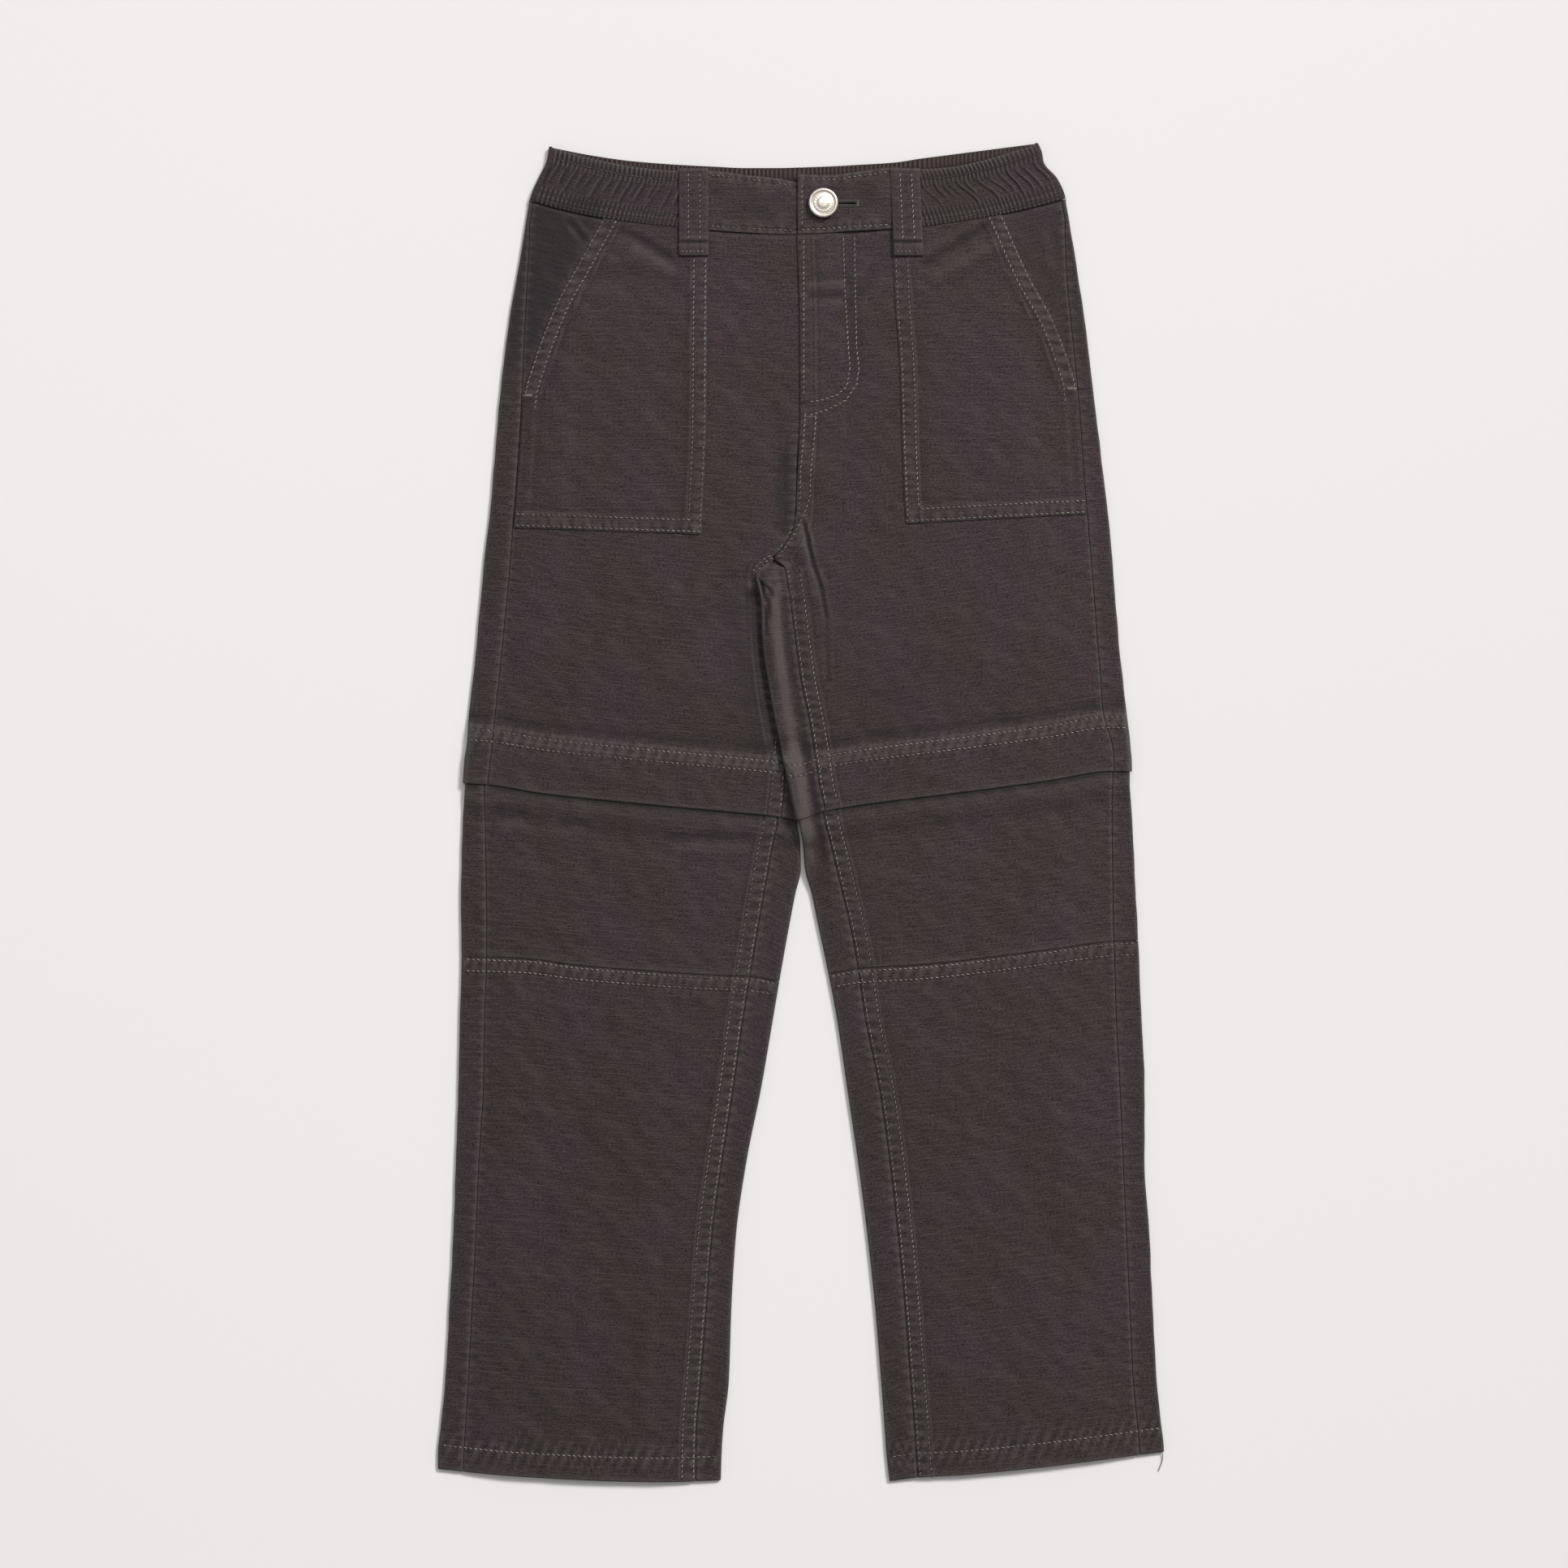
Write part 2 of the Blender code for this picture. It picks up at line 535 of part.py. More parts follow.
def inner_turn(leg, share, turn):
    """Both faces of a back panel's inner end: flat at the centre back, folded over below the crotch."""
    sign = leg.sign
    edge = leg.meet(leg.inner, share)
    edge_down = float(leg.down_at(share, edge))
    radius = float(leg.edge_height(edge, edge_down)) / 2
    floor = float(leg.floor(edge, edge_down))
    bend = math.pi * (radius - CLOTH / 2)
    if turn < 1:
        seam = edge + sign * SEAM_GAP / 2
        start = seam + sign * (bend + SHORTEST_TAIL)
        steps = [start - sign * (bend + SHORTEST_TAIL) * t for t in np.linspace(0, 1, FOLD_STEPS + 3)]
        return start, ([(a, floor) for a in steps], [(a, floor + CLOTH) for a in steps])
    angle = math.radians(turn)
    middle = bend / angle
    start = edge + sign * (middle + CLOTH / 2)
    faces = ([], [])
    for step in np.linspace(0, angle, FOLD_STEPS + 1):
        across = start - sign * middle * math.sin(step)
        height = floor + CLOTH / 2 + middle * (1 - math.cos(step))
        aside = (-sign * math.sin(step) * CLOTH / 2, -math.cos(step) * CLOTH / 2)
        faces[0].append((across + aside[0], height + aside[1]))
        faces[1].append((across - aside[0], height - aside[1]))
    if turn < 180:
        for share_of_tail in (0.5, 1.0):
            for face, (last_across, last_height) in zip(faces, (faces[0][FOLD_STEPS], faces[1][FOLD_STEPS])):
                face.append((last_across, last_height + STANDING_TAIL * share_of_tail))
        return start, faces
    seam = leg.meet(leg.inseam, share) - sign * SEAM_GAP / 2
    for across in np.linspace(start, seam, 3)[1:]:
        height = float(leg.top(across, leg.down_at(share, across)))
        faces[0].append((across, height))
        faces[1].append((across, height - CLOTH))
    return start, faces


def floor_points(leg, share, begin, start, count):
    """Across of the points on a back panel's underside, close together where it climbs over the other leg."""
    down = float(leg.down_at(share, start))
    if leg.sign > 0 and LAP_DOWNS[0] < down < LAP_DOWNS[1]:
        approach = [float(left_edge_under(down)) + reach for reach in LAP_APPROACH]
    else:
        approach = [start + leg.sign * reach for reach in FOLD_APPROACH]
    return list(np.linspace(begin, approach[0], count + 2)[1:-1]) + approach


def back_panel(name, leg, shares, turns, floor_count):
    """A back that lies on the floor and wraps round its folds to the seams on the front."""
    outer, inner = [], []
    for share, turn in zip(shares, turns):
        wrap = outer_wrap(leg, share)
        start, end = inner_turn(leg, share, turn)
        between = floor_points(leg, share, wrap[0][-1][0], start, floor_count)
        for grid, first, last, lift in ((outer, wrap[0], end[0], 0.0), (inner, wrap[1], end[1], CLOTH)):
            bottom = [(a, float(leg.floor(a, leg.down_at(share, a))) + lift) for a in between]
            path = list(first) + bottom + list(last)
            grid.append([point(a, leg.down_at(share, a), h) for a, h in path])
    return wall(name, outer, inner)


def strip(name, across_rows, downs, tops, thickness, colour=CLOTH_COLOUR):
    """A wall from rows of points given as across, down and height of the upper face."""
    outer = [[point(a, d, h) for a, d, h in zip(*row)] for row in zip(across_rows, downs, tops)]
    inner = [[point(a, d, h - thickness) for a, d, h in zip(*row)] for row in zip(across_rows, downs, tops)]
    return wall(name, outer, inner, colour)


def plain_band(name, waist, start, end, top_heights, columns):
    """A plain front waistband piece between its top edge and the waist seam."""
    top_edge = Line([(row.across, row.front_top) for row in waist])
    seam = Line(WAIST_SEAM)
    heights = Line(top_heights)
    across = np.linspace(start, end, columns)
    rows = (0.0, 0.5, 1.0)
    bottom = seam(across) - SEAM_GAP / 2
    downs = [(1 - share) * top_edge(across) + share * bottom for share in rows]
    return strip(name, [across for _ in rows], downs, [heights(across) for _ in rows], BAND)


def gathered_band(name):
    """The elastic waistband: from one belt loop round the side, the back and the other side to the other loop."""
    seam = Line(WAIST_SEAM)
    radius = BAND_HEIGHT / 2
    outer = [[] for _ in BAND_ROWS]
    inner = [[] for _ in BAND_ROWS]

    def add(row, across, down, out_height, in_height):
        outer[row].append(point(across, down, out_height))
        inner[row].append(point(across, down, in_height))

    def side(sign, waist, fold, loop_at, towards_loop):
        top_edge = Line([(row.across, row.front_top) for row in waist])
        edge = Line(fold)
        stations = np.linspace(0, 1, 2 * FRONT_GATHERS + 1)[:: 1 if towards_loop else -1]
        for number, share in enumerate(stations):
            ends = [float(edge(b)) - sign * radius for b in (0.0, 1.0)]
            top_down = float(top_edge(ends[0] + (loop_at - ends[0]) * share))
            foot_down = float(seam(ends[1] + (loop_at - ends[1]) * share)) - SEAM_GAP / 2
            if share == 0:
                continue
            for row, b in enumerate(BAND_ROWS):
                begin = float(edge(b)) - sign * radius
                across = begin + (loop_at - begin) * share
                lifted = BAND_HEIGHT + BAND_RISE * float(ease(abs(across - begin), 0.0, BAND_EASE))
                valley = GATHER_DEPTH if number % 2 else 0.0
                add(row, across, (1 - b) * top_down + b * foot_down, lifted - valley, lifted - BAND)

    def bend(sign, waist, fold, upward):
        edge = Line(fold)
        turns = np.linspace(0, math.pi, FOLD_STEPS + 1)[:: -1 if upward else 1]
        for turn in turns:
            for row, b in enumerate(BAND_ROWS):
                x_edge = float(edge(b))
                centre = x_edge - sign * radius
                down = (1 - b) * waist + b * (float(seam(x_edge)) - SEAM_GAP / 2)
                outer[row].append(point(centre + sign * radius * math.sin(turn), down,
                                        radius + radius * math.cos(turn)))
                reach = radius - BAND
                inner[row].append(point(centre + sign * reach * math.sin(turn), down,
                                        radius + reach * math.cos(turn)))

    side(-1, WAIST_LEFT, SIDE_FOLD_LEFT, LOOP_LEFT_AT - SEAM_GAP / 2, False)
    bend(-1, WAIST_LEFT[0].back_top, SIDE_FOLD_LEFT, False)
    back_rows = WAIST_LEFT[:-2] + WAIST_RIGHT
    back_edge = Line([(row.across, row.back_top) for row in back_rows])
    left, right = Line(SIDE_FOLD_LEFT), Line(SIDE_FOLD_RIGHT)
    for number, share in enumerate(np.linspace(0, 1, 2 * BACK_GATHERS + 1)[1:-1]):
        x_top = float(left(0)) + radius + (float(right(0)) - float(left(0)) - 2 * radius) * share
        x_foot = float(left(1)) + radius + (float(right(1)) - float(left(1)) - 2 * radius) * share
        for row, b in enumerate(BAND_ROWS):
            begin, end = float(left(b)) + radius, float(right(b)) - radius
            down = (1 - b) * float(back_edge(x_top)) + b * (float(seam(x_foot)) - BACK_FOOT_GAP)
            ridge = GATHER_DEPTH if number % 2 else 0.0
            add(row, begin + (end - begin) * share, down, 0.0, BAND + ridge)
    bend(1, WAIST_RIGHT[-1].back_top, SIDE_FOLD_RIGHT, True)
    side(1, WAIST_RIGHT, SIDE_FOLD_RIGHT, LOOP_RIGHT_AT + SEAM_GAP / 2, True)
    return wall(name, outer, inner)


def pocket(name, leg, outer_line, inner_line, bottom_line):
    """A patch pocket that lies on the front panel, its slanted edge free."""
    sign = leg.sign
    outer, inner, bottom = Line(outer_line), Line(inner_line), Line(bottom_line)
    seam = Line(WAIST_SEAM)
    across_rows, downs, tops = [], [], []
    for share in np.linspace(0, 1, POCKET_ROWS):
        ends = []
        for line, inset in ((outer, POCKET_SEAM_INSET), (inner, 0.0)):
            place = float(line(POCKET_FROM + POCKET_DEPTH * share))
            for _ in range(8):
                down = (1 - share) * (float(seam(place)) + SEAM_GAP / 2) + share * float(bottom(place))
                place = float(line(down))
            ends.append(place - sign * inset)
        across = np.linspace(ends[0], ends[1], POCKET_COLUMNS)
        down = (1 - share) * (seam(across) + SEAM_GAP / 2) + share * bottom(across)
        across_rows.append(across)
        downs.append(down)
        tops.append(leg.top(across, down) + LAYER_GAP + CLOTH)
    return strip(name, across_rows, downs, tops, CLOTH)


def belt_loop(name, middle, lean):
    """A strap from the waistband's top edge to just below the waist seam."""
    shape = Line(LOOP_SHAPE)
    across_rows, downs, tops = [], [], []
    for share in LOOP_SHARES:
        centre = middle + lean * share
        across = np.linspace(centre - LOOP_WIDTH / 2, centre + LOOP_WIDTH / 2, LOOP_COLUMNS)
        across_rows.append(across)
        downs.append(np.full(LOOP_COLUMNS, LOOP_TOP_DOWN + (LOOP_FOOT_DOWN - LOOP_TOP_DOWN) * share))
        tops.append(np.full(LOOP_COLUMNS, float(shape(share)) + LOOP))
    return strip(name, across_rows, downs, tops, LOOP)


def turned(name, profile, centre, colour, metallic, roughness, steps=24):
    """A round solid from (radius, height) pairs, the first and last on its axis."""
    ring = profile[1:-1]
    vertices = [point(centre.across, centre.down, profile[0][1])]
    for radius, height in ring:
        for step in range(steps):
            angle = 2 * math.pi * step / steps
            vertices.append(point(centre.across + radius * math.cos(angle),
                                  centre.down + radius * math.sin(angle), height))
    vertices.append(point(centre.across, centre.down, profile[-1][1]))
    faces = []
    for step in range(steps):
        following = (step + 1) % steps
        faces.append((0, 1 + step, 1 + following))
        for row in range(len(ring) - 1):
            low, high = 1 + row * steps, 1 + (row + 1) * steps
            faces.append((low + step, high + step, high + following, low + following))
        last = 1 + (len(ring) - 1) * steps
        faces.append((len(vertices) - 1, last + following, last + step))
    return solid(name, vertices, faces, colour, metallic, roughness)


def shank_button():
    """A domed metal button with a raised rim, on a shank that passes through the buttonhole."""
    rim = BUTTON_RADIUS
    top = HEAD_FROM + HEAD_HEIGHT
    profile = (
        (0.0, SHANK_FROM),
        (SHANK_RADIUS, SHANK_FROM),
        (SHANK_RADIUS, HEAD_FROM + 0.4),
        (rim - 1.4, HEAD_FROM),
        (rim - 0.4, HEAD_FROM + 0.5),
        (rim, HEAD_FROM + 1.3),
        (rim - 0.3, top - 0.8),
        (rim - 1.1, top - 0.3),
        (rim - 2.0, top - 0.6),
        (rim - 2.5, top - 1.0),
        (rim * 0.4, top - 0.35),
        (0.0, top - 0.2),
    )
    return turned("button", profile, BUTTON_AT, METAL_COLOUR, 1.0, 0.35)


def buttonhole_cutter():
    """A round eye at the shank with a slit that runs towards the side."""
    outline = []
    open_angle = math.asin(SLIT_HALF_WIDTH / SHANK_HOLE)
    for angle in np.linspace(open_angle, 2 * math.pi - open_angle, 15):
        outline.append((BUTTON_AT.across + SHANK_HOLE * math.cos(angle),
                        BUTTON_AT.down + SHANK_HOLE * math.sin(angle)))
    outline.append((SLIT_END, BUTTON_AT.down - SLIT_HALF_WIDTH))
    outline.append((SLIT_END, BUTTON_AT.down + SLIT_HALF_WIDTH))
    count = len(outline)
    vertices = [point(a, d, height) for height in CUTTER_HEIGHTS for a, d in outline]
    faces = [tuple(range(count)), tuple(reversed(range(count, 2 * count)))]
    for i in range(count):
        j = (i + 1) % count
        faces.append((i, i + count, j + count, j))
    cutter = solid("buttonhole_cutter", vertices, faces, CLOTH_COLOUR)
    cutter.hide_render = True
    cutter.display_type = "WIRE"
    return cutter


def upper_shares(leg):
    low = float(leg.top_line(CROTCH_REFERENCE))
    high = float(leg.bottom_line(CROTCH_REFERENCE))
    shares = [(down - low) / (high - low) for down in UPPER_ROWS]
    shares[0], shares[-1] = 0.0, 1.0
    return shares


def upper_turns():
    turning = [at for at, _ in TURN_AT_CROTCH]
    angles = [angle for _, angle in TURN_AT_CROTCH]
    return [float(np.interp(down, turning, angles)) for down in UPPER_ROWS]


def shifted(table, by):
    line = Line(table)
    return lambda across: line(across) + by


def make_leg(side_name, sign, upper, lower, flap, knee, hem):
    half = SEAM_GAP / 2
    flap_line = Line(flap)
    upper_leg = Leg(sign, upper, shifted(WAIST_SEAM, half), flap_line, flap=flap_line)
    middle_leg = Leg(sign, lower, shifted(flap, -HIDDEN_LEG), shifted(knee, -half), flap_line, True)
    lower_leg = Leg(sign, lower, shifted(knee, half), Line(hem))
    shares = upper_shares(upper_leg)
    right = sign > 0
    front_panel(f"front_upper_{side_name}", upper_leg, shares, not right, fly_raise if right else None)
    back_panel(f"back_upper_{side_name}", upper_leg, shares, upper_turns(), UPPER_FLOOR_POINTS)
    for part, leg, rows in (("middle", middle_leg, MIDDLE_ROWS), ("lower", lower_leg, LOWER_ROWS)):
        front_panel(f"front_{part}_{side_name}", leg, rows)
        back_panel(f"back_{part}_{side_name}", leg, rows, [180.0] * len(rows), LEG_FLOOR_POINTS)
    return upper_leg


def make_waist():
    gathered_band("waistband_gathered")
    plain_band("waistband_left", WAIST_LEFT, LOOP_LEFT_AT + SEAM_GAP / 2, UNDERLAP_END, LEFT_BAND_TOP, 10)
    right = plain_band("waistband_right", WAIST_RIGHT, OVERLAP_START, LOOP_RIGHT_AT - SEAM_GAP / 2,
                       RIGHT_BAND_TOP, 8)
    hole = right.modifiers.new("buttonhole", "BOOLEAN")
    hole.operation = "DIFFERENCE"
    hole.object = buttonhole_cutter()
    belt_loop("belt_loop_left", LOOP_LEFT_AT, 0.0)
    belt_loop("belt_loop_right", LOOP_RIGHT_AT, LOOP_LEAN_RIGHT)
    shank_button()


def stand_on_middle():
    """Puts the origin under the middle of the garment, on the surface that it lies on."""
    bpy.context.view_layer.update()
    corners = np.array([made.matrix_world @ vertex.co for made in bpy.data.objects if not made.hide_render
                        for vertex in made.data.vertices])
    low, high = corners.min(axis=0), corners.max(axis=0)
    base = bpy.data.objects.new("trousers", None)
    bpy.context.scene.collection.objects.link(base)
    for made in list(bpy.data.objects):
        if made is not base:
            made.parent = base
    base.location = (-(low[0] + high[0]) / 2, -(low[1] + high[1]) / 2, -low[2])


def main():
    for old in list(bpy.data.objects):
        bpy.data.objects.remove(old, do_unlink=True)
    left = make_leg("left", -1, UPPER_LEFT, LOWER_LEFT, FLAP_LEFT, KNEE_LEFT, HEM_LEFT)
    right = make_leg("right", 1, UPPER_RIGHT, LOWER_RIGHT, FLAP_RIGHT, KNEE_RIGHT, HEM_RIGHT)
    pocket("pocket_left", left, POCKET_LEFT_OUTER, POCKET_LEFT_INNER, POCKET_LEFT_BOTTOM)
    pocket("pocket_right", right, POCKET_RIGHT_OUTER, POCKET_RIGHT_INNER, POCKET_RIGHT_BOTTOM)
    make_waist()
    stand_on_middle()


main()
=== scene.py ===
"""Looks for a child's straight-leg trousers with knee flaps, laid flat on a pale surface with the front up.

The tables give millimetres as in the CAD: "across" runs towards the photo's right and "down" from the
waist to the hems. Each CAD solid of cloth is replaced by a finer shell on the same form, with seams,
puckers and creases.
"""

import math
from collections import namedtuple

import bpy
import numpy as np
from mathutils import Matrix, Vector
from mathutils.bvhtree import BVHTree


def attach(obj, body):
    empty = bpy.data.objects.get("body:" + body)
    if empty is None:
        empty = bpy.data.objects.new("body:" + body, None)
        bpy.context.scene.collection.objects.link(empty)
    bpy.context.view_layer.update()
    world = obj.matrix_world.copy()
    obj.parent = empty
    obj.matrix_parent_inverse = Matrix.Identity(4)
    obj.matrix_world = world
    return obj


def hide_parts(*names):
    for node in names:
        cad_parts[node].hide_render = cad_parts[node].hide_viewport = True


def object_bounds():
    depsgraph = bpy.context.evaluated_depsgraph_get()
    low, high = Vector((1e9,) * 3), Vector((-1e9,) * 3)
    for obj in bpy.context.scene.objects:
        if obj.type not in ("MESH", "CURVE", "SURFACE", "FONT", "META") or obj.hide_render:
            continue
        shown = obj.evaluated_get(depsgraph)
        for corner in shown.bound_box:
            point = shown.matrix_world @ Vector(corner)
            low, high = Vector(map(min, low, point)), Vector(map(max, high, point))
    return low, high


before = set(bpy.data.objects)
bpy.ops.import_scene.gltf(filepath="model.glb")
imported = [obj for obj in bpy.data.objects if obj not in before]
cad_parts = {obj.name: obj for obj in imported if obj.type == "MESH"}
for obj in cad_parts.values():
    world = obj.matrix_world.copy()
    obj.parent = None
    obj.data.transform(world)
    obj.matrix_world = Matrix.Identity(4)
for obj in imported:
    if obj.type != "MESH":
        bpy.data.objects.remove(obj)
CAD_LOW, CAD_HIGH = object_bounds()

MM = 0.001
TOP = CAD_HIGH.y / MM

# Cloth, seams and the heights of the laid stack, in mm, as in the CAD
CLOTH = 1.0
BAND = 1.4
LOOP = 1.2
SEAM_GAP = 0.3
EDGE_HEIGHT = 2.6
FLAP_HEIGHT = 5.2
LEG_LAYER = CLOTH + SEAM_GAP
EDGE_EASE = 45.0
WAIST_RISE = 1.2
BODY_RISE = 2.4
FLAP_RISE = 0.6
LEG_RISE = 1.8
HIDDEN_LEG = 23.0
FLAP_BUILD_UP = (-41.0, -27.0)
FLAP_FLATTENS = (-95.0, -41.0)
LEG_SETTLES = (3.5, 18.0)
CROTCH_DOWN = 240.0
FLY_UNDERLAP = 8.0
FLY_ENDS = (140.0, 178.0)
FLY_RAISE = CLOTH + SEAM_GAP
FLY_EASE_ACROSS = (10.0, 35.0)
FLY_EASE_DOWN = (178.0, 213.0)
TURN_LEFT = ((240.0, 0.0), (245.5, 90.0), (251.0, 180.0))
TURN_RIGHT = ((239.0, 0.0), (241.5, 90.0), (244.5, 180.0))
SHORTEST_TAIL = 1.0
FLAT_END = 1.2
LEANING_WEAVE = 24.0
WRAP_SLANT_LEFT = 0.35
WRAP_SLANT_RIGHT = 0.2

# Finer than the CAD: the share of its wall that the cloth fills, the mesh and the seams' relief, in mm
SHELL = 0.5
HEM_DEPTH = 14.0
STEP = 2.0
EDGE_DIP = 0.45
EDGE_DIP_WIDTH = 0.7
FELL_WIDTH = 9.2
FELL_HEIGHT = 0.28
INSEAM_ROWS = (1.4, 8.0)
FLAP_ROWS = (-31.5, -25.2)
KNEE_ROWS = (1.6, 8.1)
PUCKER = 0.15
HOLLOW_SPAN = 0.55
PUCKER_LENGTH = 6.3
STITCH_PITCH = 3.0
NEAR_EDGE = (0.0, 0.4, 1.0, 2.0)
NEAR_SEAM = (0.0, 0.35, 0.8, 1.4)
NEAR_ROWS = (0.0, 0.4, 0.9, 1.4, 2.2, 4.0, 6.4, 7.4, 8.0, 8.6, 9.8)

Edge = namedtuple("Edge", "down outer side inseam inner")
Point = namedtuple("Point", "across down")
Crease = namedtuple("Crease", "across down to_across to_down half_width height")
Waist = namedtuple("Waist", "across front_top back_top")
Under = namedtuple("Under", "down left_edge lift")
Layer = namedtuple("Layer", "across height in_across in_height wear")
Flat = namedtuple("Flat", "piece width length area held rests_on")

# Upper legs: outer fold, side seam, front panel's inner edge, and the back panel's inner edge
UPPER_LEFT = (
    Edge(34.0, -157.4, -157.0, -3.3, -3.3),
    Edge(58.0, -161.2, -157.4, -2.4, -3.0),
    Edge(77.0, -164.5, -158.4, -1.7, -3.0),
    Edge(105.0, -169.2, -159.8, -1.0, -3.0),
    Edge(152.0, -174.8, -161.9, -0.8, -3.0),
    Edge(200.0, -178.7, -165.0, -2.7, -4.0),
    Edge(217.0, -180.4, -166.4, -3.5, -6.0),
    Edge(230.5, -182.0, -167.4, -8.2, -10.0),
    Edge(240.0, -183.2, -168.1, -16.4, -15.5),
    Edge(245.5, -183.8, -168.6, -19.3, -16.3),
    Edge(251.0, -184.3, -169.0, -20.7, -16.3),
    Edge(264.0, -185.4, -170.2, -20.2, -17.2),
    Edge(278.0, -186.7, -171.6, -19.6, -16.8),
    Edge(293.0, -188.0, -173.0, -18.8, -16.0),
    Edge(311.0, -190.0, -174.9, -17.0, -14.1),
    Edge(330.0, -192.2, -177.0, -14.2, -11.3),
    Edge(349.0, -193.6, -178.7, -10.9, -8.0),
    Edge(358.0, -195.0, -179.8, -9.6, -6.5),
    Edge(370.0, -195.5, -180.9, -9.3, -4.5),
    Edge(380.0, -195.5, -180.9, -10.4, -2.8),
    Edge(392.0, -195.5, -180.9, -12.0, -1.4),
)
UPPER_RIGHT = (
    Edge(34.0, 153.2, 152.4, -3.3, -3.3),
    Edge(58.0, 157.4, 152.9, -2.4, -3.0),
    Edge(77.0, 160.4, 153.7, -1.7, -3.0),
    Edge(105.0, 164.5, 156.3, -1.0, -3.0),
    Edge(152.0, 170.1, 160.9, -0.8, -3.0),
    Edge(200.0, 175.9, 164.3, -2.7, -4.0),
    Edge(217.0, 177.9, 165.8, -3.5, -6.0),
    Edge(230.5, 179.2, 166.8, -8.2, -10.0),
    Edge(240.0, 180.0, 167.7, -15.4, -15.5),
    Edge(245.5, 180.5, 168.1, -9.6, -22.6),
    Edge(251.0, 180.9, 168.6, -8.4, -26.4),
    Edge(257.0, 181.3, 169.1, -7.4, -25.0),
    Edge(263.0, 181.8, 169.6, -6.3, -23.8),
    Edge(271.0, 182.4, 170.2, -5.3, -23.1),
    Edge(278.0, 183.0, 170.7, -4.5, -23.0),
    Edge(293.0, 184.2, 171.9, -2.5, -22.0),
    Edge(311.0, 186.3, 173.4, 0.0, -19.3),
    Edge(330.0, 188.4, 174.8, 4.0, -16.0),
    Edge(349.0, 190.5, 180.0, 7.3, -12.0),
    Edge(358.0, 191.3, 180.8, 8.6, -10.3),
    Edge(370.0, 191.3, 180.9, 10.3, -7.6),
    Edge(380.0, 191.3, 180.9, 12.6, -5.6),
    Edge(392.0, 191.3, 180.9, 15.3, -3.1),
)

# Middle and lower legs, from inside the upper leg to the hem
LOWER_LEFT = (
    Edge(347.0, -192.1, -181.4, -14.1, -10.0),
    Edge(358.0, -193.6, -182.4, -13.9, -8.4),
    Edge(370.0, -194.1, -183.1, -13.6, -5.9),
    Edge(380.0, -195.0, -183.2, -13.4, -4.2),
    Edge(392.0, -195.7, -182.8, -13.7, -2.8),
    Edge(405.0, -196.1, -182.6, -16.3, -0.6),
    Edge(420.0, -196.5, -182.3, -19.0, -0.2),
    Edge(434.0, -196.9, -182.1, -21.6, -3.3),
    Edge(448.0, -196.8, -181.9, -24.0, -6.0),
    Edge(471.0, -196.5, -182.0, -27.9, -10.2),
    Edge(505.0, -197.4, -183.1, -33.4, -16.0),
    Edge(546.0, -198.3, -183.8, -39.2, -23.0),
    Edge(589.0, -199.8, -186.4, -45.8, -31.6),
    Edge(631.0, -201.2, -188.2, -51.5, -37.6),
    Edge(673.0, -203.5, -190.3, -54.8, -40.3),
    Edge(716.0, -205.9, -192.5, -58.2, -41.8),
    Edge(744.0, -208.7, -194.2, -60.5, -45.1),
    Edge(758.0, -210.1, -195.0, -60.8, -46.0),
    Edge(774.3, -210.1, -195.6, -60.9, -46.5),
)
LOWER_RIGHT = (
    Edge(340.0, 187.9, 179.4, 6.0, -12.0),
    Edge(358.0, 189.9, 180.2, 9.0, -8.8),
    Edge(370.0, 190.1, 180.2, 10.5, -6.1),
    Edge(380.0, 190.8, 179.9, 12.0, -4.1),
    Edge(392.0, 191.6, 179.9, 13.6, -1.5),
    Edge(405.0, 192.2, 180.0, 17.0, 0.9),
    Edge(420.0, 193.0, 180.2, 20.6, 2.3),
    Edge(434.0, 193.6, 180.4, 24.0, 6.1),
    Edge(448.0, 194.4, 180.5, 27.4, 9.0),
    Edge(471.0, 195.5, 181.3, 31.9, 13.9),
    Edge(505.0, 196.9, 182.3, 36.9, 20.5),
    Edge(546.0, 198.8, 184.4, 45.1, 26.6),
    Edge(589.0, 198.8, 186.3, 51.3, 32.9),
    Edge(631.0, 201.6, 188.2, 56.0, 38.3),
    Edge(673.0, 203.5, 190.1, 60.0, 42.8),
    Edge(716.0, 205.9, 192.1, 63.3, 46.3),
    Edge(744.0, 208.7, 194.8, 65.6, 48.4),
    Edge(757.0, 210.1, 195.8, 66.4, 49.3),
    Edge(774.3, 210.1, 195.9, 67.8, 51.2),
)

# Seam and edge lines that run across a leg
WAIST_SEAM = (
    Point(-157.0, 32.8), Point(-146.0, 36.4), Point(-120.0, 42.6), Point(-98.0, 46.0),
    Point(-71.0, 49.0), Point(-40.0, 51.5), Point(-4.0, 53.0), Point(30.0, 51.2),
    Point(53.0, 49.8), Point(71.0, 48.4), Point(91.0, 45.6), Point(115.0, 41.6),
    Point(139.0, 36.0), Point(153.0, 32.0),
)
FLAP_LEFT = (
    Point(-195.5, 370.2), Point(-181.0, 371.0), Point(-148.0, 376.2), Point(-98.0, 381.4),
    Point(-42.0, 386.6), Point(-14.0, 389.4), Point(-1.4, 392.0),
)
FLAP_RIGHT = (
    Point(-42.0, 386.6), Point(-14.0, 389.4), Point(-3.3, 391.3), Point(14.0, 386.2), Point(38.0, 382.2),
    Point(91.0, 375.6), Point(141.0, 369.0), Point(180.0, 363.2), Point(191.3, 363.4),
)
KNEE_LEFT = (
    Point(-196.5, 470.4), Point(-160.0, 471.5), Point(-129.0, 475.4), Point(-90.0, 478.6),
    Point(-60.0, 480.6), Point(-30.0, 482.0), Point(-12.0, 485.0),
)
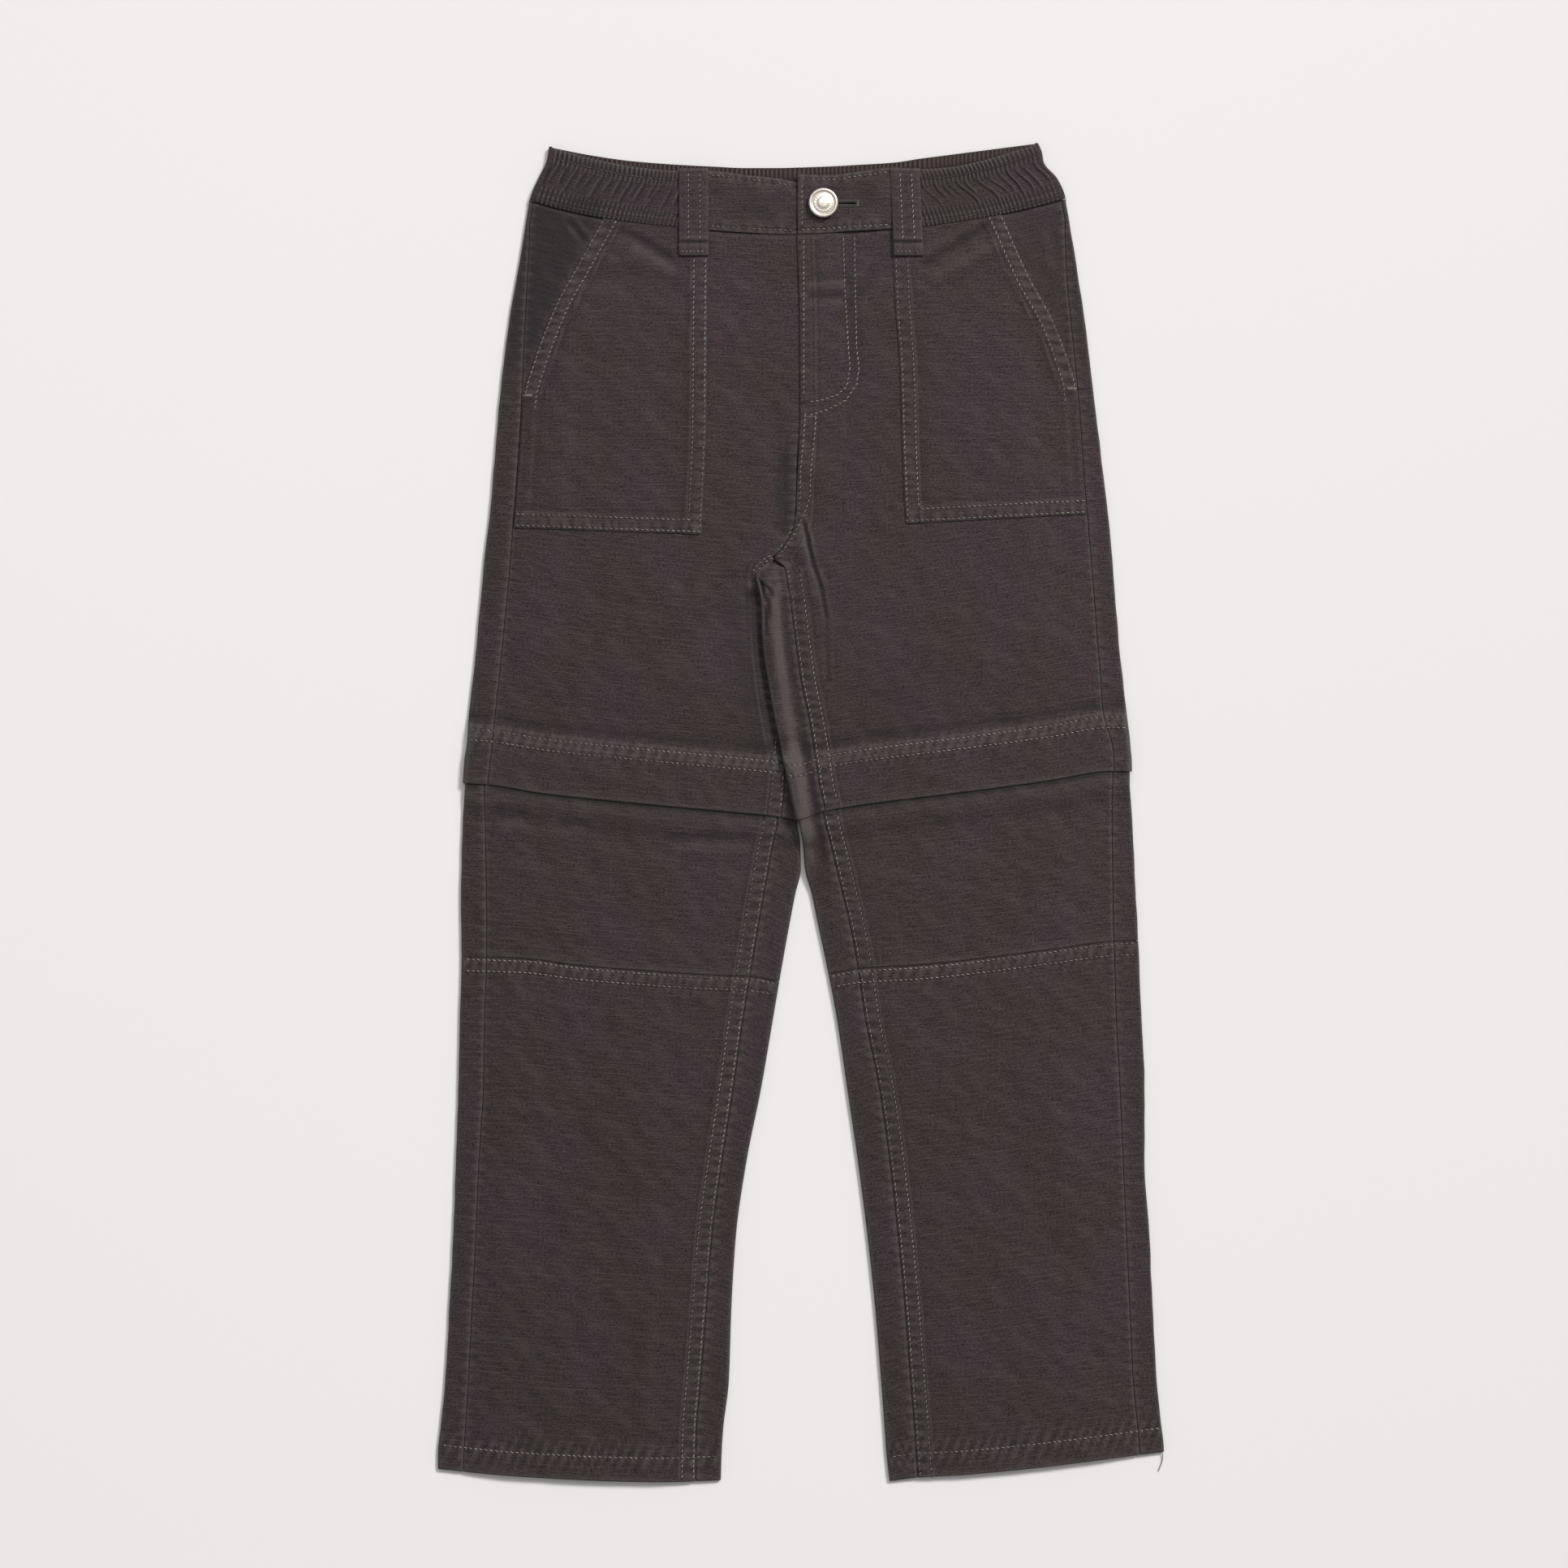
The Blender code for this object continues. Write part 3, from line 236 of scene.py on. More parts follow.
KNEE_RIGHT = (
    Point(15.0, 481.0), Point(32.0, 477.5), Point(71.0, 475.0), Point(119.0, 469.6),
    Point(149.0, 465.6), Point(179.0, 461.8), Point(195.5, 461.0),
)
HEM_LEFT = (
    Point(-210.1, 766.8), Point(-184.0, 769.4), Point(-154.0, 771.6), Point(-107.0, 773.8),
    Point(-79.0, 774.3), Point(-46.5, 773.4),
)
HEM_RIGHT = (
    Point(51.2, 773.9), Point(67.0, 771.8), Point(94.0, 770.1), Point(138.0, 765.8),
    Point(185.0, 760.0), Point(210.1, 756.9),
)

# Waistband: top edges of the front and of the back behind it, and its side folds from top to bottom
WAIST_LEFT = (
    Waist(-145.9, 2.1, 2.1), Waist(-122.0, 8.7, 6.8), Waist(-98.0, 13.7, 10.2),
    Waist(-71.0, 16.2, 12.3), Waist(-50.0, 16.4, 13.4), Waist(-32.0, 18.6, 14.2),
    Waist(-14.0, 20.4, 14.2), Waist(-1.9, 22.8, 13.9), Waist(25.0, 26.0, 12.8),
)
WAIST_RIGHT = (
    Waist(-1.9, 18.1, 13.9), Waist(18.0, 18.8, 13.2), Waist(30.0, 17.2, 12.5),
    Waist(54.0, 14.5, 11.0), Waist(68.0, 15.2, 8.9), Waist(85.0, 14.3, 6.7),
    Waist(102.0, 11.0, 4.5), Waist(120.0, 5.8, 2.2), Waist(137.2, 0.3, 0.0),
)
SIDE_FOLD_LEFT = ((0.0, -145.9), (0.2, -146.9), (0.55, -151.8), (0.8, -155.1), (1.0, -157.0))
SIDE_FOLD_RIGHT = ((0.0, 137.2), (0.15, 139.4), (0.3, 140.3), (0.6, 148.0), (0.9, 152.3), (1.0, 153.0))
BAND_HEIGHT = 4.0
BAND_RISE = 1.0
BAND_WALL = 0.9 * BAND
BAND_EASE = 50.0
LOOP_LEFT_AT = -62.0
LOOP_RIGHT_AT = 60.0
UNDERLAP_END = 25.0
OVERLAP_START = -1.9
LEFT_BAND_TOP = ((-62.0, 5.0), (-32.0, 4.8), (-14.0, 4.2), (-5.0, 3.8), (25.0, 3.8))
RIGHT_BAND_TOP = ((-1.9, 5.5), (35.0, 5.5), (60.0, 5.0))

# Gathers of the elastic: finer at the top edge, fewer and deeper below it
RIB_LENGTH = 2.5
BAND_LENGTH = 34.0
PLAIN_BAND_LENGTH = 33.0
RIB_HEIGHT = 0.6
RIDGE_HEIGHT = 1.0
BAND_ROW_AT = (0.17, 0.8, 0.93)

# Where the right leg lies over the left one: the left leg's inner fold, and how far that lifts the right leg
OVER_LEFT_LEG = (
    Under(228.0, -16.0, 0.0),
    Under(240.0, -16.5, 1.0),
    Under(246.0, -17.2, 3.5),
    Under(251.0, -17.2, 3.7),
    Under(257.0, -17.2, 3.3),
    Under(263.0, -17.2, 3.1),
    Under(278.0, -16.8, 3.1),
    Under(311.0, -14.1, 3.1),
    Under(343.0, -9.0, 3.1),
    Under(357.0, -6.6, 5.8),
    Under(380.0, -2.8, 5.8),
    Under(395.0, -1.4, 5.8),
    Under(408.0, -0.4, 3.1),
    Under(420.0, -0.2, 1.5),
    Under(433.0, -3.0, 0.0),
)
LIFT_FADES = (1.5, 16.0)

# Creases: a trough has a negative height
CREASES = (
    Crease(1.9, 219.0, 6.6, 241.0, 1.2, -0.7),
    Crease(6.6, 241.0, 11.8, 256.7, 1.2, -0.7),
    Crease(11.8, 256.7, 15.0, 274.0, 1.3, -0.5),
    Crease(15.0, 274.0, 15.9, 312.0, 1.6, -0.25),
    Crease(0.0, 230.0, 8.0, 262.0, 3.2, 0.3),
    Crease(-40.0, 262.0, -95.0, 296.0, 12.0, -0.6),
    Crease(-176.0, 384.0, -158.0, 388.0, 4.0, -0.35),
    Crease(-140.0, 391.0, -122.0, 394.0, 3.4, -0.25),
    Crease(-172.0, 392.0, -125.0, 398.0, 6.0, 0.4),
    Crease(-80.0, 401.5, -56.0, 400.0, 3.4, -0.2),
    Crease(-56.0, 400.0, -30.0, 401.0, 3.4, -0.35),
    Crease(-74.0, 408.0, -32.0, 407.0, 6.0, 0.4),
    Crease(60.0, 300.0, 120.0, 330.0, 14.0, -0.5),
    Crease(-120.0, 560.0, -150.0, 640.0, 16.0, -0.6),
    Crease(120.0, 540.0, 150.0, 640.0, 16.0, -0.6),
    Crease(-134.0, 44.0, -124.0, 56.0, 2.2, -0.35),
    Crease(-106.0, 48.0, -74.0, 66.0, 3.4, -0.4),
    Crease(-98.0, 60.0, -72.0, 76.0, 5.0, 0.5),
    Crease(70.0, 70.0, 108.0, 47.0, 3.4, -0.45),
    Crease(76.0, 78.0, 116.0, 56.0, 5.0, 0.5),
    Crease(4.0, 82.0, 26.0, 81.0, 2.6, 0.3),
    Crease(4.0, 89.0, 25.0, 87.6, 2.2, -0.3),
    Crease(-130.0, 76.0, -90.0, 74.0, 6.0, -0.4),
    Crease(-14.0, 150.0, -9.0, 226.0, 6.0, -0.7),
    Crease(143.0, 50.0, 146.0, 74.0, 4.0, 0.25),
    Crease(20.0, 104.0, 44.0, 72.0, 5.0, -0.35),
)
LEFT_CREASES = (
    Crease(-28.6, 258.0, -26.0, 282.0, 4.2, -1.2),
    Crease(-26.0, 282.0, -19.0, 330.0, 4.2, -1.2),
    Crease(-19.0, 330.0, -14.4, 350.0, 3.6, -1.0),
)
RIGHT_CREASES = (
    Crease(-25.4, 253.2, -21.6, 256.6, 1.6, -2.4),
    Crease(-22.6, 256.6, -23.6, 265.0, 1.7, -2.2),
    Crease(-17.0, 254.0, -21.5, 284.0, 1.8, -0.6),
    Crease(-17.0, 262.0, -12.0, 310.0, 4.0, 0.4),
)
# Painted shade in creases, hollows and beside the folds, where the cloth is drawn darker and greener: a
# depth from 0 to 1
SHADED = (
    Crease(-27.8, 258.0, -25.2, 282.0, 3.6, 1.0),
    Crease(-25.0, 282.0, -18.4, 330.0, 3.6, 1.0),
    Crease(-18.4, 330.0, -13.4, 352.0, 3.2, 0.9),
    Crease(-38.0, 262.0, -24.0, 350.0, 8.0, 0.45),
    Crease(-9.0, 176.0, -10.0, 226.0, 5.0, 0.6),
    Crease(-26.0, 253.0, -21.5, 256.5, 1.8, 1.3),
    Crease(-22.8, 256.0, -24.2, 266.0, 1.9, 1.3),
    Crease(1.9, 219.0, 6.6, 241.0, 0.9, 0.8),
    Crease(6.6, 241.0, 11.8, 256.7, 0.9, 0.8),
    Crease(11.8, 256.7, 15.2, 278.0, 1.0, 0.5),
    Crease(-70.0, 22.0, -150.0, 18.0, 20.0, 0.3),
    Crease(70.0, 22.0, 140.0, 12.0, 18.0, 0.3),
    Crease(-34.0, 30.0, -20.0, 44.0, 8.0, 0.45),
    Crease(26.0, 70.0, 34.0, 130.0, 5.0, 0.4),
    Crease(22.0, 24.0, 42.0, 34.0, 7.0, 0.35),
    Crease(52.0, 300.0, 60.0, 360.0, 14.0, 0.25),
)
CREASE_EASE = 20.0
FLAPS_MEET = -3.3
SHADE_UNDER_FLAP = 1.0
SHADE_LEFT = 0.8
SHADE_RIGHT = 0.3

# Patch pockets: the free edges, given as across at each down
POCKET_LEFT_OUTER = ((43.0, -114.8), (71.0, -130.3), (93.0, -142.4), (127.0, -155.6), (147.0, -161.2),
                     (176.0, -163.2), (200.0, -165.1), (223.0, -166.9))
POCKET_LEFT_INNER = ((50.0, -53.8), (105.0, -54.2), (165.0, -54.7), (218.0, -56.9), (227.0, -57.1))
POCKET_LEFT_BOTTOM = ((-167.0, 222.5), (-57.0, 226.3))
POCKET_RIGHT_OUTER = ((40.0, 116.0), (77.0, 132.5), (101.0, 145.7), (125.0, 155.1), (142.0, 159.8),
                      (176.0, 162.6), (200.0, 164.2), (216.0, 165.6))
POCKET_RIGHT_INNER = ((48.0, 53.0), (65.0, 53.3), (95.0, 54.5), (127.0, 56.9), (180.0, 58.5), (221.0, 60.4))
POCKET_RIGHT_BOTTOM = ((60.0, 220.2), (166.0, 214.6))
POCKET_SEAM_INSET = 0.8
POCKET_LIFT = 1.0
POCKET_LENGTH = 172.0
POCKET_WIDTH = 95.0
POCKET_FROM = 60.0
POCKET_DEPTH = 160.0
SLANT_ENDS_LEFT = 146.0
SLANT_ENDS_RIGHT = 142.0

# Belt loops
LOOP_WIDTH = 17.0
LOOP_TOP_DOWN = 15.0
LOOP_FOOT_DOWN = 65.3
LOOP_SHAPE = ((0.0, 6.5), (0.5, 6.6), (0.72, 6.8), (0.8, 7.0), (0.845, 6.4), (0.88, 7.0), (1.0, 6.8))
LOOP_LEAN_RIGHT = 2.2
LOOP_ROWS = (5.4, 12.0)

# Button and buttonhole
BUTTON_AT = Point(12.8, 35.2)
BUTTON_RADIUS = 8.5
SHANK_FROM = 4.1
HEAD_FROM = 5.9
HEAD_HEIGHT = 3.4
SLIT_END = 31.5

# Each part of a leg: its length down the leg, and where its weave starts
PART_LENGTH = {"upper": 338.0, "middle": 118.0, "lower": 292.0}
UV_SHIFT = {
    "upper": np.array([3.0, 1.0]),
    "middle": np.array([40.0, 700.0]),
    "lower": np.array([90.0, 1300.0]),
}
CROTCH_STEPS = [180.0 + 0.8 * step for step in range(30)]

# Camera: the photo's middle and width on the surface
PHOTO_MIDDLE = Point(-9.9, 370.6)
PHOTO_WIDTH = 908.0
LENS = 85.0
SENSOR = 36.0


class Line:
    """A smooth line through (at, value) pairs that never overshoots them, level beyond its ends."""

    def __init__(self, pairs):
        self.at = np.array([pair[0] for pair in pairs], float)
        self.value = np.array([pair[1] for pair in pairs], float)
        step = np.diff(self.value) / np.diff(self.at)
        slope = np.concatenate([step[:1], np.zeros(len(step) - 1), step[-1:]])
        for i in range(1, len(step)):
            if step[i - 1] * step[i] > 0:
                slope[i] = 2 * step[i - 1] * step[i] / (step[i - 1] + step[i])
        self.slope = slope

    def __call__(self, at):
        at = np.clip(at, self.at[0], self.at[-1])
        i = np.clip(np.searchsorted(self.at, at) - 1, 0, len(self.at) - 2)
        span = self.at[i + 1] - self.at[i]
        t = (at - self.at[i]) / span
        start = (2 * t**3 - 3 * t**2 + 1) * self.value[i] + (t**3 - 2 * t**2 + t) * span * self.slope[i]
        end = (3 * t**2 - 2 * t**3) * self.value[i + 1] + (t**3 - t**2) * span * self.slope[i + 1]
        return start + end


def ease(value, low, high):
    """0 up to low, 1 from high, smooth between."""
    t = np.clip((value - low) / (high - low), 0.0, 1.0)
    return t * t * (3 - 2 * t)


def bump_at(distance, at, half_width):
    return np.exp(-(((distance - at) / half_width) ** 2))


def waves(across, down, size, seed):
    """Soft uneven swell between about -1 and 1, from a few crossing sines."""
    rng = np.random.default_rng(seed)
    total = np.zeros(np.broadcast(across, down).shape)
    for _ in range(6):
        angle = rng.uniform(0, 2 * math.pi)
        stretch = rng.uniform(0.6, 1.7)
        phase = rng.uniform(0, 2 * math.pi)
        run = across * math.cos(angle) + down * math.sin(angle)
        total = total + np.sin(2 * math.pi * run / (size * stretch) + phase)
    return total / 3.2


def pucker(along, seed):
    """Uneven swing along a seam."""
    drift = 1.9 * np.sin(along / 19.0 + seed) + 1.1 * np.sin(along / 8.3 + 2.1 * seed)
    return np.sin(2 * math.pi * along / PUCKER_LENGTH + drift)


def crease_height(table, across, down):
    """Sum of a crease table's soft ridges and troughs at a place."""
    total = np.zeros(np.broadcast(across, down).shape)
    for fold in table:
        run = np.array([fold.to_across - fold.across, fold.to_down - fold.down])
        length = float(np.hypot(*run))
        run = run / length
        along = (across - fold.across) * run[0] + (down - fold.down) * run[1]
        aside = (down - fold.down) * run[0] - (across - fold.across) * run[1]
        ends = ease(along, -fold.half_width, fold.half_width)
        ends = ends * (1 - ease(along, length - fold.half_width, length + fold.half_width))
        total = total + fold.height * ends * np.exp(-((aside / fold.half_width) ** 2))
    return total


left_edge_under = Line([(row.down, row.left_edge) for row in OVER_LEFT_LEG])
lift_over_left = Line([(row.down, row.lift) for row in OVER_LEFT_LEG])


def right_leg_lift(across, down):
    """Height of the right leg's underside where it climbs onto the left leg's inner fold."""
    past = across - left_edge_under(down)
    return lift_over_left(down) * (1 - ease(past, *LIFT_FADES))


class Leg:
    """One tube of a leg: its four lines down the leg, the two lines that end it, and its heights."""

    def __init__(self, sign, edges, top, bottom, flap, inside_flap=False):
        self.turn = TURN_LEFT if sign < 0 else TURN_RIGHT
        self.own_creases = LEFT_CREASES if sign < 0 else RIGHT_CREASES
        self.sign = sign
        self.outer = Line([(row.down, row.outer) for row in edges])
        self.side = Line([(row.down, row.side) for row in edges])
        self.inseam = Line([(row.down, row.inseam) for row in edges])
        self.inner = Line([(row.down, row.inner) for row in edges])
        self.top_line = top
        self.bottom_line = bottom
        self.flap = flap
        self.inside_flap = inside_flap

    def down_at(self, share, across):
        return (1 - share) * self.top_line(across) + share * self.bottom_line(across)

    def meet(self, line, share):
        """Where a line down the leg crosses each row, given by its share of the tube's length."""
        across = line(self.down_at(share, 0.0))
        for _ in range(8):
            across = line(self.down_at(share, across))
        return across

    def below_flap(self, across, down):
        return down - self.flap(across)

    def floor(self, across, down):
        """Height of the tube's underside."""
        height = np.zeros(np.broadcast(across, down).shape)
        if self.sign > 0:
            height = height + right_leg_lift(across, down)
        if self.inside_flap:
            height = height + LEG_LAYER * (1 - ease(self.below_flap(across, down), *LEG_SETTLES))
        return height

    def edge_height(self, across, down):
        """Height of the folded edge above its underside."""
        height = np.full(np.broadcast(across, down).shape, EDGE_HEIGHT)
        if self.flap and not self.inside_flap:
            build = ease(self.below_flap(across, down), *FLAP_BUILD_UP)
            height = height + (FLAP_HEIGHT - EDGE_HEIGHT) * build
        return height

    def rise(self, across, down):
        """How much the front stands up between the folds."""
        if self.flap is None:
            return LEG_RISE
        below = self.below_flap(across, down)
        if self.inside_flap:
            return FLAP_RISE + (LEG_RISE - FLAP_RISE) * ease(below, 2.0, 45.0)
        from_waist = down - self.top_line(across)
        full = WAIST_RISE + (BODY_RISE - WAIST_RISE) * ease(from_waist, 0.0, 60.0)
        return full + (FLAP_RISE - full) * ease(below, *FLAP_FLATTENS)

    def top(self, across, down):
        """Height of the outer face of what lies on top: the wraps and the front panel."""
        radius = self.edge_height(across, down) / 2
        from_outer = self.sign * (self.outer(down) - across) - radius
        from_fold = self.sign * (across - self.inner(down)) - radius
        from_inner = from_fold + 3 * np.maximum(0, self.turn[-1][0] - down)
        middle = ease(from_outer, 0.0, EDGE_EASE) * ease(from_inner, 0.0, EDGE_EASE)
        creased = ease(from_outer, 0.0, CREASE_EASE) * ease(from_inner, 4.0, CREASE_EASE + 4.0)
        height = self.floor(across, down) + self.edge_height(across, down)
        height = height + self.rise(across, down) * middle + crease_height(CREASES, across, down) * creased
        height = height + crease_height(self.own_creases, across, down) * ease(from_inner, -0.6, 1.6)
        return height + 0.16 * waves(across, down, 34.0, 5) * middle + 0.05 * waves(across, down, 11.0, 9)

    def side_end(self, share):
        """Across of the side seam, which stays clear of the fold's bend."""
        across = self.meet(self.side, share)
        outer = self.meet(self.outer, share)
        bend = self.edge_height(outer, self.down_at(share, outer)) / 2 + SHORTEST_TAIL
        return self.sign * np.minimum(self.sign * across, self.sign * outer - bend)


def fly_raise(across, down):
    """The right front lies over the left one's underlap along the fly."""
    return FLY_RAISE * (1 - ease(across, *FLY_EASE_ACROSS)) * (1 - ease(down, *FLY_EASE_DOWN))


def place(across, down, height):
    """Points in metres from grids in mm."""
    across, down, height = np.broadcast_arrays(across, down, height)
    return np.stack([across * MM, (TOP - down) * MM, height * MM], axis=-1)


def grid_quads(rows, columns, offset=0):
    index = np.arange(rows * columns).reshape(rows, columns) + offset
    corners = [index[:-1, :-1], index[1:, :-1], index[1:, 1:], index[:-1, 1:]]
    return np.stack(corners, axis=-1).reshape(-1, 4)


def strip_quads(first, second):
    return np.stack([first[:-1], first[1:], second[1:], second[:-1]], axis=-1)


def new_mesh(name, vertices, faces, material, uv=None, values=None, smooth_angle=55.0):
    """A mesh object in metres, from an array of quads or triangles; uv and values have a row a vertex."""
    points = vertices[faces]
    if faces.shape[1] == 4:
        volume = np.einsum("ij,ij->i", points[:, 0], np.cross(points[:, 1], points[:, 2])).sum()
        volume += np.einsum("ij,ij->i", points[:, 0], np.cross(points[:, 2], points[:, 3])).sum()
    else:
        volume = np.einsum("ij,ij->i", points[:, 0], np.cross(points[:, 1], points[:, 2])).sum()
    if volume < 0:
        faces = faces[:, ::-1]
    mesh = bpy.data.meshes.new(name)
    mesh.from_pydata(vertices.tolist(), [], faces.tolist())
    corner = faces.reshape(-1)
    if uv is not None:
        layer = mesh.uv_layers.new(name="weave")
        layer.uv.foreach_set("vector", uv[corner].astype(np.float32).reshape(-1))
    for key, value in (values or {}).items():
        attribute = mesh.attributes.new(key, "FLOAT", "POINT")
        attribute.data.foreach_set("value", value.astype(np.float32))
    mesh.shade_smooth()
    if smooth_angle:
        mesh.set_sharp_from_angle(angle=math.radians(smooth_angle))
    mesh.materials.append(material)
    made = bpy.data.objects.new(name, mesh)
    bpy.context.scene.collection.objects.link(made)
    return made


def hollows(outer):
    """How far each point of a grid stands above its neighbours, from -1 in a hollow to 1 on a ridge."""
    height = outer[..., 2] / MM
    total = np.zeros(height.shape)
    for axis in (0, 1):
        for step in (1, 2):
            if height.shape[axis] > 2 * step:
                pad = [(step, step) if a == axis else (0, 0) for a in (0, 1)]
                wide = np.pad(height, pad, mode="edge")
                low = np.take(wide, range(0, height.shape[axis]), axis=axis)
                high = np.take(wide, range(2 * step, 2 * step + height.shape[axis]), axis=axis)
                total += (height - (low + high) / 2) / step
    return np.clip(total / HOLLOW_SPAN, -1.0, 1.0)


def beside_pocket(across, down):
    """Depth of the shade on the cloth outside the pockets' slants, deeper on the left."""
    from_left = Line(POCKET_LEFT_OUTER)(down) - across
    from_right = across - Line(POCKET_RIGHT_OUTER)(down)
    fade = ease(down, 30.0, 36.0) * (1 - ease(down, 105.0, 160.0))
    return fade * (SHADE_LEFT * ease(from_left, 0.4, 3.0) + SHADE_RIGHT * ease(from_right, 0.4, 3.0))


def under_flaps(across, down):
    """Depth of the shade on the legs just below the knee flaps' free edges."""
    below = np.where(across < FLAPS_MEET, down - Line(FLAP_LEFT)(across), down - Line(FLAP_RIGHT)(across))
    return SHADE_UNDER_FLAP * ease(below, 0.1, 0.4) * (1 - ease(below, 0.8, 3.4))


def shell(name, outer, inner, uv, wear, material):
    """Closed thin cloth between two grids of points."""
    rows, columns = outer.shape[:2]
    count = rows * columns
    a = np.arange(count).reshape(rows, columns)
    b = a + count
    faces = np.concatenate([
        grid_quads(rows, columns),
        grid_quads(rows, columns, count)[:, ::-1],
        strip_quads(a[:, 0], b[:, 0])[:, ::-1],
        strip_quads(a[:, -1], b[:, -1]),
        strip_quads(a[0], b[0]),
        strip_quads(a[-1], b[-1])[:, ::-1],
    ])
    vertices = np.concatenate([outer.reshape(-1, 3), inner.reshape(-1, 3)])
    both_uv = np.concatenate([uv.reshape(-1, 2)] * 2)
    both_wear_and_highlight = np.concatenate([wear.reshape(-1)] * 2)
    # This relief drives painted shade in the hollows and a painted highlight on the ridges
    relief = hollows(outer).reshape(-1)
    high_up = ease(vertices[:, 2] / MM, 1.6, 2.4)
    across, down = vertices[:, 0] / MM, TOP - vertices[:, 1] / MM
    # Painted shade: the table of shaded places, beside the pockets' slants and just under the flaps' edges
    shaded = crease_height(SHADED, across, down) + beside_pocket(across, down) + under_flaps(across, down)
    values = {
        "wear": both_wear_and_highlight,
        "relief": np.concatenate([relief, np.zeros_like(relief)]),
        "shaded": np.clip(shaded * high_up, 0, 1),
    }
    return new_mesh(name, vertices, faces, material, both_uv, values)


def spread(width, near_start, near_end, step=STEP):
    """Positions from 0 to width: those listed near both ends, and even steps between."""
    start, end = np.array(near_start), width - np.array(near_end)[::-1]
    middle = np.linspace(start[-1], end[0], max(2, int(round((end[0] - start[-1]) / step)) + 1))[1:-1]
    return np.concatenate([start, middle, end])


def edge_dip(distance):
    """A panel's edge sinks into its seam."""
    return -EDGE_DIP * np.exp(-((distance / EDGE_DIP_WIDTH) ** 1.5))


def fell(distance):
    """The folded allowance under a double-stitched seam, with its two rows pulled in."""
    body = FELL_HEIGHT * ease(distance, 0.2, 1.0) * (1 - ease(distance, FELL_WIDTH, FELL_WIDTH + 1.6))
    return body - 0.16 * sum(bump_at(distance, row, 0.7) for row in INSEAM_ROWS)


def seam_pucker(distance, along, seed, reach=9.0):
    """Puckers that run away from a seam and fade."""
    return PUCKER * pucker(along, seed) * (1 - ease(distance, 1.0, reach))


def rows_relief(below, at, seed, across):
    """A pair of stitched rows across a leg: a low ridge between them and puckers."""
    low, high = min(at), max(at)
    body = 0.18 * ease(below, low - 0.6, low + 0.6) * (1 - ease(below, high - 0.6, high + 0.6))
    pull = -0.14 * sum(bump_at(below, row, 0.9) for row in at)
    near = np.exp(-(((below - (low + high) / 2) / 7.0) ** 2))
    return body + pull + 0.1 * pucker(across + 0.35 * below, seed) * near


def cross_relief(leg, across, down, part):
    """Relief of the stitched rows that cross a part of the leg."""
    if part == "upper":
        return rows_relief(leg.below_flap(across, down), FLAP_ROWS, 3.0 + leg.sign, across)
    if part == "lower":
        below_knee = down - leg.top_line(across)
        relief = rows_relief(below_knee, KNEE_ROWS, 5.0 + leg.sign, across)
        above_hem = leg.bottom_line(across) - down
        turned = 0.2 * (1 - ease(above_hem, HEM_DEPTH - 0.8, HEM_DEPTH + 1.2))
        pull = -0.16 * bump_at(above_hem, HEM_DEPTH, 1.0)
        near = np.exp(-(((above_hem - HEM_DEPTH) / 8.0) ** 2))
        return relief + turned + pull + 0.12 * pucker(across - 0.4 * above_hem, 8.0 + leg.sign) * near
    return np.zeros(np.broadcast(across, down).shape)


def row_shares(length, part):
    """Rows down a part, closer together at its stitched rows and ends."""
    extra = {
        "upper": [length + row + o for row in FLAP_ROWS for o in (-0.9, 0.0, 0.9)] + CROTCH_STEPS,
        "middle": [],
        "lower": [row + o for row in KNEE_ROWS for o in (-0.8, 0.0, 0.8)]
        + [length - HEM_DEPTH + o for o in (-1.8, -0.9, 0.0, 0.9, 1.8)],
    }[part]
    near = (0.0, 0.35, 0.9, 1.6)
    positions = np.concatenate([spread(length, near, near), np.array(extra)])
    positions = np.unique(np.round(positions, 2))
    keep = np.concatenate([[True], np.diff(positions) > 0.3])
    keep[-1] = True
    return positions[keep] / length


def wall_share(leg, share, part):
    """How much of the CAD's wall the cloth fills: all of it where an edge is turned up."""
    length = PART_LENGTH[part]
    from_end = (1 - share) * length
    if part == "lower":
        return SHELL + (1 - SHELL) * (1 - ease(from_end, HEM_DEPTH - 1, HEM_DEPTH))
    if part == "upper":
        return SHELL + (1 - SHELL) * (1 - ease(from_end, 2.0, 4.0))
    return np.full(np.shape(share), SHELL)




def end_dip(share, part):
    """Rounds the free edges of the flap and the hem, and sinks the edges at the waist and knee seams."""
    length = PART_LENGTH[part]
    above, below = share * length, (1 - share) * length
    first = edge_dip(above) if part != "middle" else 0.0
    return first + edge_dip(below)


